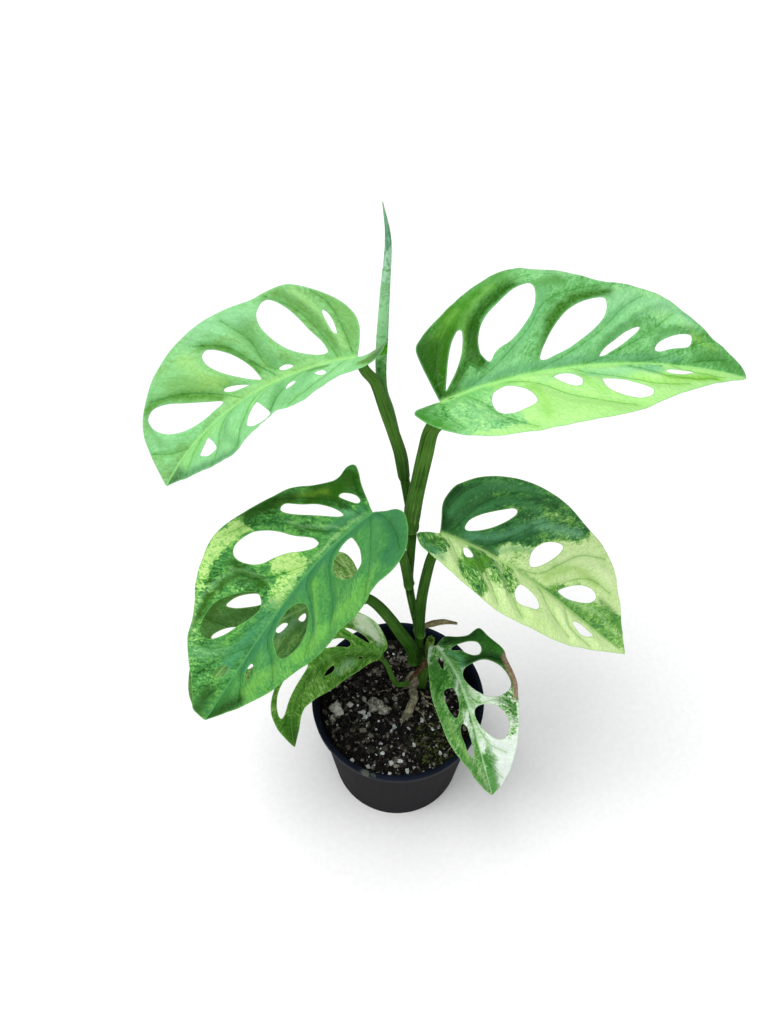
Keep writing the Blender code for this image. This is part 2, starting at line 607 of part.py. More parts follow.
def build_petiole(prefix, leaf, form, material, collection):
    points = petiole_points(leaf, form)
    lengths = path_lengths(np.array(points, float))
    radii = np.interp(lengths / lengths[-1], (0, 0.12, 1),
                      (leaf.petiole.foot_radius * 0.9, leaf.petiole.foot_radius, leaf.petiole.top_radius))
    return add_stalk(prefix + leaf.name, points, radii, material, collection)


# Stem and small pieces


def build_main_stem(name, material, collection):
    path = smooth_path(STEM_PATH, 12.0)
    heights = sorted(set(path[:, 2].tolist()
                         + [h + STEM_RING_SPREAD * k for h in STEM_RING_HEIGHTS for k in (-1, 0, 1)]))
    places = np.array([[np.interp(h, path[:, 2], path[:, axis]) for axis in range(3)] for h in heights])
    radii = [STEM_RADIUS + STEM_RING_GROWTH * max(math.exp(-((h - ring) / STEM_RING_SPREAD) ** 2 * 1.5)
                                      for ring in STEM_RING_HEIGHTS)
             for h in heights]
    return add_tube(name, places, radii, material, collection)


def build_dry_sheath(material, collection):
    path = smooth_path(SHEATH_PATH, 4.0)
    given = path_lengths(np.array(SHEATH_PATH, float))
    along = path_lengths(path)
    widths = np.interp(along / along[-1], given / given[-1], SHEATH_WIDTHS)
    vertices = []
    for place, width in zip(path, widths):
        for part, sag in ((-0.5, 0.5), (0.0, 0.0), (0.5, 0.5)):
            vertices.append(Vector((place[0], place[1] + part * width, place[2] + sag)) * MM)
    faces = []
    for row in range(len(path) - 1):
        for column in range(2):
            a = row * 3 + column
            faces += [(a, a + 3, a + 4), (a, a + 4, a + 1)]
    mesh = bpy.data.meshes.new("dry_sheath")
    mesh.from_pydata(vertices, [], faces)
    sheath = add_mesh_object("dry_sheath", mesh, material, collection)
    solidify = sheath.modifiers.new("thickness", "SOLIDIFY")
    solidify.thickness = SHEATH_THICKNESS * MM
    solidify.offset = -1
    return sheath


def hole_cutter(stalk, cutters):
    """The stalk itself, a fit gap wider all round and longer at both ends."""
    points = stalk.data.splines[0].points
    for end, neighbour in ((points[0], points[1]), (points[-1], points[-2])):
        outward = (end.co.xyz - neighbour.co.xyz).normalized()
        end.co = (*(end.co.xyz + outward * FIT_GAP * MM), 1.0)
    for point in points:
        point.radius += FIT_GAP
    cutter = curve_to_mesh(stalk, cutters)
    hide_cutter(cutter)
    return cutter


def stalk_hole_cutters(leaves, cutters):
    """One cutter for each stalk that stands in the soil."""
    stalks = [build_main_stem("main_stem_hole", None, cutters),
              add_stalk("woody_root_hole", ROOT_POINTS, ROOT_RADII, None, cutters, ROOT_SPACING)]
    stalks += [build_petiole("petiole_hole_", leaf, form, None, cutters)
               for leaf, form in leaves if leaf.petiole.points[0][2] < SOIL_EDGE_Z]
    return [hole_cutter(stalk, cutters) for stalk in stalks]


def main():
    clear_scene()
    plant = make_collection(OBJECT_NAME)
    cutters = make_collection("cutters")
    black_plastic = make_material("black_plastic", (0.012, 0.012, 0.014), 0.45)
    potting_mix = make_material("potting_mix", (0.035, 0.026, 0.02), 0.95)
    stem_green = make_material("stem_green", (0.055, 0.17, 0.03), 0.45)
    leaf_green = make_material("leaf_green", (0.13, 0.36, 0.07), 0.38)
    new_leaf_green = make_material("new_leaf_green", (0.26, 0.5, 0.2), 0.4)
    dry_brown = make_material("dry_brown", (0.2, 0.14, 0.07), 0.8)
    wood_brown = make_material("wood_brown", (0.16, 0.11, 0.07), 0.85)
    leaves = [(leaf, BladeForm(leaf)) for leaf in LEAVES]
    build_pot(black_plastic, plant, cutters)
    build_soil(potting_mix, plant, stalk_hole_cutters(leaves, cutters))
    build_main_stem("main_stem", stem_green, plant)
    for leaf, form in leaves:
        build_petiole("petiole_", leaf, form, stem_green, plant)
        build_blade(leaf, form, leaf_green, plant)
    add_stalk("furled_leaf", SPIKE_POINTS, SPIKE_RADII, new_leaf_green, plant)
    add_stalk("leaf_stub", STUB_POINTS, STUB_RADII, stem_green, plant)
    add_stalk("woody_root", ROOT_POINTS, ROOT_RADII, wood_brown, plant, ROOT_SPACING)
    build_dry_sheath(dry_brown, plant)


main()
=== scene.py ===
"""A variegated Monstera adansonii in a black nursery pot: the finish of every surface.

Lengths are in millimetres until a mesh is made, which is in metres.  The origin is the middle of
the pot's flat underside, +Z is up and the plant faces -Y.
"""

import math
import random
from collections import namedtuple
from functools import partial

import bmesh
import bpy
import numpy as np
from mathutils import Matrix, Vector, kdtree, noise
from mathutils.geometry import delaunay_2d_cdt

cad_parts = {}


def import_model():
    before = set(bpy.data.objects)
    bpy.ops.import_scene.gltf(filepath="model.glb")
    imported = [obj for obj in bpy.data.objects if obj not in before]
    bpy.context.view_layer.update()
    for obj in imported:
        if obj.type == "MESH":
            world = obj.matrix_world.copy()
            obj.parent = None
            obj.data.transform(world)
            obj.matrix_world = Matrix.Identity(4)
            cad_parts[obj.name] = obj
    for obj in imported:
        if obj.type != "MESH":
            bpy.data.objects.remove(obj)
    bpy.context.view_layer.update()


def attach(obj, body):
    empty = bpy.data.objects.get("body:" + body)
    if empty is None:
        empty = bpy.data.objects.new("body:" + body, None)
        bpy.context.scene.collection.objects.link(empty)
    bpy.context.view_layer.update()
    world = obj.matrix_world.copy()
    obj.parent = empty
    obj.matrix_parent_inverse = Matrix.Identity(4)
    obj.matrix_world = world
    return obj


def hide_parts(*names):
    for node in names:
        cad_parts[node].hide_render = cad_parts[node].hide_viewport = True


MM = 0.001

# Blade section and mesh
BLADE_THICKNESS = 0.45
BLADE_SPACING = 0.95
# How far the blade's grid of points reaches to either side and behind its base
BLADE_REACH = 52
LOBE_REACH = 22
EDGE_CLEARANCE = 0.55
VEIN_CLEARANCE = 1.5
WAVE_LENGTH = 37.0
FOLD_WIDTH = 35.0
CURL_LENGTH = 12.0
# Rows of points along the midrib, by their v
MIDRIB_ROWS = (0.0, 0.45, -0.45, 0.95, -0.95)
MIDRIB_HALF_WIDTH = 1.5
MIDRIB_HEIGHT = 1.15
MIDRIB_GROOVE = 0.3
VEIN_HALF_WIDTH = 0.75
VEIN_HEIGHT = 0.28
VEIN_GROOVE = 0.26
QUILT_HEIGHT = 2.1
WINDOW_DROP = 0.7
LIP_HEIGHT = 0.08
MARGIN_BULGE = 0.16
SPINE_STEPS = 96
WINDOW_STEPS = 8
SHEET_THICKNESS = 0.3

# Blade painting: small veins lean away from the midrib by VEIN_LEAN degrees, and borders wander by
# waves of (height, grain size, seeds along u and v)
VEIN_LEAN = 50.0
PLANE_UNIT = 100.0
TONE_STEP = 0.6
PATCH_WANDER = ((3.0, 7.0, 0, 10), (1.5, 2.4, 5, 15))
WASH_WANDER = ((0.9, 3.5, 40, 50), (0.5, 1.3, 41, 51))

# Pot
POT_RIM_RADIUS = 50.0
POT_BASE_RADIUS = 40.0
POT_HEIGHT = 80.0
POT_WALL = 1.0
POT_FLOOR = 1.4
POT_FOOT_ROUNDING = 1.2
RIM_HEIGHT = 5.5
RIM_THICKNESS = 2.8
RIM_STEP = 2.0
UNDER_RIM_RADIUS = POT_RIM_RADIUS - RIM_STEP - 1.0
POT_SIDES = 144
EDGE_ROUNDING = 0.25
DRAIN_RADIUS = 3.5
DRAIN_CIRCLE = 27.0
DRAIN_COUNT = 6
# Where silt has dried on the rim, in metres
RIM_STAIN = (-0.0185, -0.0465, 0.0795)

# Soil
SOIL_EDGE_Z = 67.5
SOIL_CROWN_Z = 70.5
SOIL_GAP = 0.5
SOIL_RINGS = 84
SOIL_SIDES = 216
# Bark chips, pale lumps and perlite where the photograph shows them: (x, y, half length)
BARK_PLACES = ((-6, -10, 3.2), (-24, 12, 3.4), (30, -8, 3.0), (-30, 20, 3.2), (22, 24, 3.4), (2, 30, 3.0),
               (34, 12, 3.2), (-16, -28, 2.6), (-40, 8, 2.6), (-24, -14, 2.4), (12, -32, 2.2), (-6, 4, 2.8),
               (-30, -28, 2.2), (0, -24, 2.0))
LUMP_PLACES = ((-36, -3, 4.6), (-13, -2, 4.6), (-8, -5, 3.2), (-38, -9, 2.4), (26, 3, 2.8), (-28, -1, 1.8))
PERLITE_PLACES = (
    (-21, -6, 2.2), (-19, -9, 1.6), (-17, -7, 1.4), (-2, -15, 1.5), (-4, -17, 1.2), (1, -14, 1.2),
    (6, -16, 1.3), (14, -11, 1.4), (20, -16, 1.2), (9, -26, 1.2), (-10, -24, 1.1), (-18, -22, 1.3),
    (-26, -34, 1.4), (-17, -38, 1.4), (-9, -31, 1.2), (-4, -36, 1.6), (1, -35, 1.4), (5, -40, 1.5),
    (9, -38, 1.2), (-5, -42, 1.2), (-1, -39, 1.1), (24, -30, 1.3), (31, -20, 1.2), (-33, -20, 1.4),
    (-38, -12, 1.1), (37, -4, 1.3), (28, 30, 1.4), (-12, -41, 1.2), (3, -31, 1.0))
MOSS_CENTRE = (20, -25)
MOSS_REACH = 13.0

# Camera: where the photograph was taken from, solved from the pot's rim
CAMERA_PLACE = (-8.1, -215.3, 502.9)
CAMERA_TILT = 50.06
CAMERA_LENS = 28.0

# A patch of the variegation: an ellipse about (u, v), turned, with its tone from 0, the deepest
# green, to 1, the palest cream, and how strongly it is mottled
Patch = namedtuple("Patch", "u v along across turn tone mottle")

# A wash is a soft band of colour along a path over the blade: its colour, its greatest strength,
# its half width and how deep a hollow it lies in.  The dark washes are painted shade in hollows and
# folds, the pale ones partly painted light on ridges and partly the leaf's own streaks
Wash = namedtuple("Wash", "code strength reach points sink", defaults=(0.0,))

# A petiole is (radius at its foot, radius at its top, points from the foot up to the blade, how dark)
Petiole = namedtuple("Petiole", "foot_radius top_radius points shade", defaults=(0.3,))

# heading, slope and roll are (value at the base, change to the tip, squared change); a fold is
# (rise at the midrib, change towards the margin).  u runs along the midrib, v to the left of it.
# Windows are closed loops of points, lateral veins open paths from the midrib.  Paint is the (tone,
# mottle) of one side, and the four colours run from the deepest green to the palest cream
Leaf = namedtuple(
    "Leaf",
    "name base length heading slope roll left_fold right_fold wave curl left_edge right_edge windows"
    " petiole veins left_paint right_paint patches washes colours rib_colour")

UPPER_RIGHT = Leaf(
    name="upper_right", base=(13, 8, 300.5), length=128, heading=(15, -20, 14), slope=(18, -43, 2),
    roll=(0, 0), left_fold=(35, -25), right_fold=(5, 0), wave=0.8, curl=0,
    left_edge=((-0.6, 8), (-1, 16), (-0.6, 22.5), (2.5, 26), (12, 33.2), (22, 41), (30, 45), (40, 46.2),
        (50, 44.6), (57, 44), (62, 41.2), (69, 36.4), (76, 33.8), (88, 31.5), (96, 27), (104, 19.2),
        (113, 11.8), (121, 6.4), (126, 2.8)),
    right_edge=((-6, 0.4), (-10.3, 0.2), (-9.8, -3.5), (-6, -11.5), (1, -19.5), (9, -26.3), (17, -30.2),
        (28, -31), (40, -32), (50, -32.6), (60, -31), (72, -26.6), (86, -20), (100, -13), (113, -7),
        (122, -3.6)),
    windows=(
        ((3.5, 3.2), (6, 9), (8.5, 14.5), (11.5, 20), (14.5, 23.7), (16.2, 24.2), (16.2, 22), (15, 18),
         (13, 13.5), (9.5, 8.5), (5.5, 4.5)),
        ((21.2, 8.8), (19.7, 11.7), (20, 15.8), (21.2, 20), (23.3, 24.2), (26.7, 28.3), (30.8, 31),
         (35, 34.2), (40, 36.9), (43.4, 37.6), (44.4, 35.8), (44.7, 32.5), (43.8, 28.3), (41.7, 24.2),
         (38.3, 20), (34.2, 16.2), (31, 14), (27.5, 12.6), (25, 11), (23.2, 8.9), (22.2, 8.3)),
        ((40, 4.7), (41, 7.5), (42.6, 10), (45.8, 14.4), (50, 19.2), (54.2, 23), (59.2, 26), (64.2, 27.3),
         (67.9, 27.1), (68.9, 25.8), (68.7, 22.5), (67.2, 19.2), (64.2, 15.8), (60, 12.5), (55, 9.2),
         (50.8, 7), (45.8, 5.2), (42.5, 4.2)),
        ((62.7, 3.3), (65, 6.3), (69.2, 9.2), (73.3, 12), (77.5, 14), (80, 14.5), (79.2, 12.8), (75.8, 10),
         (71.7, 7), (67.5, 4.7), (65, 3.4)),
        ((85, 5.4), (85.4, 7.2), (87.5, 9), (90.8, 10.7), (95, 12.2), (99.2, 13.1), (101.4, 12.9),
         (102, 11.6), (101.6, 9.6), (100, 8), (95.8, 7.1), (91.7, 6.2), (87.5, 4.9)),
        ((87.8, -3.8), (90.8, -2.5), (95, -2), (100.2, -2.4), (100.4, -3.6), (96.7, -5), (92.5, -5.5),
         (89.2, -5)),
        ((25.3, -3), (21.7, -4.2), (18.8, -6.7), (17.3, -10), (17.5, -14.2), (19.5, -17.5), (23.3, -19.6),
         (27.5, -19.8), (31.3, -18.5), (33, -16.5), (32.4, -12.5), (30.5, -8.3), (28.3, -5)),
        ((45.8, -2.5), (43.2, -4), (42.6, -5.6), (44.2, -8.3), (47.5, -11.6), (49.9, -12.9), (51.2, -12.3),
         (52, -10), (51.7, -7.5), (50, -4.4), (47.8, -2.8)),
        ((63.3, -8.7), (60, -9), (59, -11.2), (59, -15), (60.6, -17.6), (65, -20), (70, -21.6),
         (73.8, -21.4), (76, -19.4), (76, -16.7), (75, -14.2), (72.5, -11.7), (69.8, -9.6), (66.7, -8.7))),
    petiole=Petiole(3.7, 3, ((3.9, 13.2, 218), (5.2, 12, 237.5), (7, 11.7, 254.5), (8.8, 11, 270.5),
        (10.6, 9.7, 284.5)), 0.1),
    veins=(
        ((1, 0), (1.5, 8), (6, 20), (12, 29)), ((4, 0), (12, 8), (18, 20), (23, 30), (33, 39), (45, 42.5)),
        ((10, 0), (25, 7), (38, 17), (46, 27), (56, 33), (68, 34.5)),
        ((36, 0), (50, 5), (64, 13), (75, 23), (84, 29)), ((55, 0), (70, 5), (84, 13), (95, 22)),
        ((75, 0), (90, 3.5), (104, 10), (111, 12)), ((94, 0), (106, 3), (116, 5)),
        ((1, 0), (0, -8), (4, -18)), ((8, 0), (14, -8), (20, -21), (29, -29)),
        ((24, 0), (36, -6), (46, -16), (57, -22), (68, -24.5)),
        ((50, 0), (58, -5), (68, -8), (82, -12.5), (94, -12)),
        ((70, 0), (84, -5.5), (98, -7.5), (110, -5.5)), ((92, 0), (104, -3.5), (114, -4))),
    left_paint=(0.5, 0.16), right_paint=(0.93, 0.08),
    patches=(
        Patch(8, 22, 14, 16, 40, 0.14, 0.3), Patch(16, 33, 16, 4, 40, 0.4, 0.45),
        Patch(44, 42, 18, 3, 0, 0.62, 0.2), Patch(72, 17, 14, 5, 30, 0.62, 0.16),
        Patch(82, 26, 16, 7, -8, 0.68, 0.2), Patch(94, 19, 9, 4, -8, 0.74, 0.16),
        Patch(30, 4, 22, 3, 5, 0.55, 0.1), Patch(113, 7, 15, 6, -20, 0.42, 0.22),
        Patch(3, -8, 20, 15, -20, 0.68, 0.3), Patch(-6, -6, 8, 8, 0, 0.46, 0.3),
        Patch(16, -22, 9, 6, -30, 0.68, 0.3), Patch(18, -24.5, 4, 2.4, -30, 0.56, 0.3),
        Patch(50, -4, 12, 3.4, 0, 0.8, 0.12), Patch(80, -3, 9, 2.8, 0, 0.64, 0.35)),
    washes=(
        Wash("#1f5600", 1, 6.5, ((0.5, 3), (1, 11), (3, 21)), 0.5),
        Wash("#316c02", 0.95, 5.5, ((6, 7), (7.5, 15), (10, 24), (15, 31)), 0.3),
        Wash("#448a16", 0.8, 5.5, ((16, 30), (24, 38), (34, 42)), 0.3),
        Wash("#7fbe48", 0.4, 1.4, ((8.5, 25), (12, 29), (17, 33))),
        Wash("#8acb66", 0.5, 1.3, ((13.5, 14), (16.5, 24), (23, 33.5), (31, 40.5)), -0.3),
        Wash("#55963f", 0.7, 2.6, ((45.5, 30), (47, 36), (54, 38.5)), 0.5),
        Wash("#79c184", 0.6, 2.6, ((24, 6), (33, 12), (41, 22), (47, 32)), -0.3),
        Wash("#82ca8a", 0.5, 3, ((44, 3), (58, 7), (68, 13), (74, 22)), -0.3),
        Wash("#5c9f6c", 0.5, 1.3, ((48, 8), (60, 13), (70, 20), (80, 26)), 0.4),
        Wash("#4d9040", 0.7, 1.6, ((64, 7.5), (71, 13), (79, 16.5)), 0.6),
        Wash("#4f9058", 0.6, 1.3, ((66, 8), (78, 18), (92, 24.5), (104, 19.5)), 0.4),
        Wash("#95d69e", 0.6, 4, ((70, 25), (80, 27), (92, 25), (100, 20)), -0.3),
        Wash("#4a8c44", 0.6, 1.8, ((86, 9.5), (94, 14.5), (103, 14.5)), 0.5),
        Wash("#96d060", 0.5, 1.8, ((102, 13), (107, 10.5), (111, 8.5))),
        Wash("#4b9040", 0.6, 3.2, ((104, 4), (114, 5), (125, 2)), 0.2),
        Wash("#5f9f78", 0.5, 1.7, ((12, 2.2), (50, 2.2), (95, 2))),
        Wash("#8ed452", 0.6, 2.4, ((33.5, -8), (35.4, -17), (34, -25)), 0.3),
        Wash("#8fd85e", 0.5, 1.6, ((53.5, -5), (53.4, -12), (58, -18)), 0.3),
        Wash("#7cc626", 0.75, 2.2, ((86, -8.5), (97, -8), (110, -5.2)), 0.3),
        Wash("#a8e868", 0.5, 1.8, ((74, -8), (80, -12), (90, -13)), 0.3),
        Wash("#a8e57e", 0.5, 5.5, ((38, -20), (52, -26), (68, -25)), 0.4),
        Wash("#8ad09a", 0.65, 2.6, ((57, -5), (64, -6), (73, -5), (84, -3))),
        Wash("#78c862", 0.5, 3, ((2, -4), (14, -3), (26, -2))),
        Wash("#3a8a1c", 0.75, 3.6, ((-9, -2), (-7, -8), (-2, -15))),
        # the last two washes are painted shade along the upper flanks of the second and third windows
        Wash("#255e00", 1, 3, ((19, 9), (19.2, 18), (21.8, 26.5), (28.2, 32.8), (37, 38.2)), 0.5),
        Wash("#306a00", 0.95, 3, ((43, 8), (47, 17.5), (53.2, 25), (61, 29), (69.5, 30)), 0.5)),
    colours=("#2a6208", "#559c48", "#88d088", "#b9ef8e"), rib_colour="#a8e884")

UPPER_LEFT = Leaf(
    name="upper_left", base=(-18, 10, 320.5), length=99, heading=(166, 41, 15), slope=(-20, -25, -4),
    roll=(-12, 0), left_fold=(12, 0), right_fold=(28, 0), wave=0.7, curl=4.5,
    left_edge=((-3, 0.4), (-9, 0.3), (-13.6, 1), (-16.8, 3.4), (-17.2, 9.4), (-12, 9.4), (-5, 8.8),
        (3, 10.5), (11, 15), (18, 18.6), (26, 18.6), (33, 18.2), (43, 21.2), (56, 22.8), (64, 21.6),
        (77, 15.6), (89, 8)),
    right_edge=((-1.5, -6), (-1, -13), (5, -21), (16, -29), (22, -32), (29, -32.6), (34, -32), (43, -33),
        (58, -32), (68, -29.6), (76, -25.6), (84, -19.6), (90, -12.6), (95, -5)),
    windows=(
        ((7, -9.5), (8.6, -10.5), (10.3, -14.5), (11.4, -18.3), (10.9, -19.3), (9, -17), (7.5, -13)),
        ((11.3, -3.4), (14.5, -3.2), (19.2, -4.7), (24.2, -7.5), (28.3, -11.7), (31.3, -16.7), (33, -21.7),
         (32.6, -26.7), (30.8, -29.7), (28.8, -30.1), (26.7, -28.7), (23.3, -24.5), (20, -19.2),
         (16.7, -13.3), (13.3, -8.6), (11.6, -5.4)),
        ((39.2, -3), (41.7, -3.7), (45.8, -6.7), (50.8, -11.7), (54.2, -17.3), (54.6, -21.7), (53, -23.4),
         (50.8, -22.6), (46.7, -18.3), (43.3, -13.3), (40.8, -8.3)),
        ((44.5, -3.2), (48.3, -3.5), (52.5, -4.8), (54.9, -6.7), (53.3, -7.3), (49.2, -5.8)),
        ((57, -3.6), (62.5, -3), (69.2, -3.3), (75.8, -5.3), (80.8, -9.2), (83.1, -14.2), (82.6, -18.3),
         (80.5, -20.2), (77.5, -20.3), (73.3, -17.5), (68.3, -12.6), (62.5, -7.8)),
        ((25.6, -2.4), (28.5, -2), (31.2, -2.8), (31.6, -3.9), (29.2, -4.3), (26.8, -3.6)),
        ((11, 5.3), (12.6, 6.2), (14.8, 6), (16.4, 4.9), (14.8, 4), (12.4, 4.1)),
        ((24, 8.4), (26, 9.2), (28.4, 8), (29.6, 6), (28.6, 4.3), (26.5, 3.8), (24.7, 4.8), (23.9, 6.5)),
        ((36.2, 15.8), (38, 18), (42.5, 18.9), (46.4, 18), (48.6, 15), (47.7, 10.4), (45.4, 7), (43.3, 6.2),
         (41.4, 8.3), (38.8, 11.8)),
        ((68.7, 11.8), (73.3, 12), (76.4, 9), (74.2, 7.7), (71.7, 6.5), (70.2, 4.2), (68.8, 6.3),
         (68.1, 9.2))),
    petiole=Petiole(2.7, 2, ((0.6, 18.9, 247.2), (-1.1, 18, 261.5), (-3.7, 16.9, 273.5),
        (-7.5, 14.8, 289.5), (-11.2, 12.6, 305.5)), 0.15),
    veins=(
        ((3, 0), (8, 4.5), (16, 11), (26, 17)), ((17, 0), (25, 2), (33, 8), (37, 16)),
        ((34, 0), (44, 3), (51, 11), (57, 20)), ((52, 0), (61, 4), (68, 13), (74, 17)),
        ((68, 0), (78, 3), (88, 7)), ((1, 0), (4, -9), (9, -21), (15, -28)),
        ((7, 0), (13, -11), (20, -22), (29, -31.5)), ((24, 0), (35, -6), (38, -18), (44, -30)),
        ((32, 0), (38.5, -8), (46, -20), (56, -28)), ((49, 0), (57, -7), (66, -15), (77, -23)),
        ((80, 0), (87, -5), (91, -11))),
    left_paint=(0.58, 0.1), right_paint=(0.45, 0.18),
    patches=(
        Patch(29, 10, 5, 4, 40, 0.55, 0.15), Patch(52, 14, 9, 5, 60, 0.6, 0.15),
        Patch(-13, 5, 10, 6, 0, 0.12, 0.15), Patch(8, 6, 9, 5, 30, 0.72, 0.1),
        Patch(10, -18, 13, 13, 0, 0.42, 0.26), Patch(36, -9, 7, 7, 0, 0.54, 0.2),
        Patch(46, -29, 16, 5, 0, 0.58, 0.16), Patch(78, -8, 14, 6, -20, 0.6, 0.12),
        Patch(68, -22, 14, 5, -25, 0.54, 0.14)),
    washes=(
        Wash("#4f8a34", 0.8, 1.3, ((11.5, 2.5), (15, 2.3), (19, 2.1)), 0.2),
        Wash("#1f6a00", 1, 4.5, ((-20, 7), (-17, 7), (-14, 5)), 0.3),
        Wash("#a8e090", 0.6, 1.3, ((14, -1.6), (30, -1.2), (50, -1.4), (60, -1.2))),
        Wash("#a8de88", 0.6, 0.9, ((24, -0.6), (33, -3.4), (37, -9))),
        Wash("#a8de88", 0.6, 0.9, ((49, -0.6), (57, -4.5), (65, -11))),
        Wash("#b0ec86", 0.6, 1, ((33, 0.6), (41, 2.6), (47, 6))),
        Wash("#5a9f58", 0.65, 2.2, ((32, 4), (34, 9), (37, 17)), 0.6),
        Wash("#62aa6a", 0.55, 2.4, ((55, 20), (60, 14), (59, 7)), 0.4),
        Wash("#69b070", 0.5, 2.2, ((18, 5), (22, 10), (30, 15)), 0.3),
        Wash("#4c8a5c", 0.75, 1.9, ((58, 22.4), (68, 19), (78, 14), (89, 7), (97, 1.6))),
        Wash("#9ee07c", 0.45, 3, ((64, 2.5), (74, 3), (85, 2.6))),
        Wash("#3a6a30", 0.8, 3, ((90, 3.2), (94, 2), (98.5, 0.4)), 0.2),
        Wash("#70a850", 0.55, 4, ((1, -8), (3, -17), (9, -25)), 0.2),
        Wash("#5f9640", 0.65, 2, ((7, -5), (12.4, -13), (18.5, -23), (25, -30.5)), 0.4),
        Wash("#a6dc84", 0.55, 1.1, ((4, -4), (8.5, -12), (14.5, -22), (20, -29)), -0.3),
        Wash("#5c9c4e", 0.6, 3, ((33, -6), (36, -13), (38, -24)), 0.5),
        Wash("#92cf98", 0.5, 3.4, ((36, -27), (44, -30), (54, -30.5))),
        Wash("#7cb450", 0.6, 3.4, ((52, -8), (60, -14), (68, -21))),
        Wash("#a6dc7c", 0.55, 3, ((55, -10), (58, -17), (60, -25)), -0.3),
        Wash("#69a860", 0.5, 1.4, ((86, -9), (82.5, -18), (75, -25)), 0.3),
        # the last two washes are painted shade along the flanks of the windows that start at u 39 and u 57
        Wash("#498a22", 0.85, 1.5, ((39, -6), (43.4, -14), (48.4, -21.5), (53.5, -25.4)), 0.4),
        Wash("#4d8c24", 0.85, 1.5, ((57, -5), (65.2, -12.5), (72.4, -19), (80, -22)), 0.4)),
    colours=("#4f8028", "#82bc6c", "#8ed690", "#c0f0ac"), rib_colour="#a6e086")

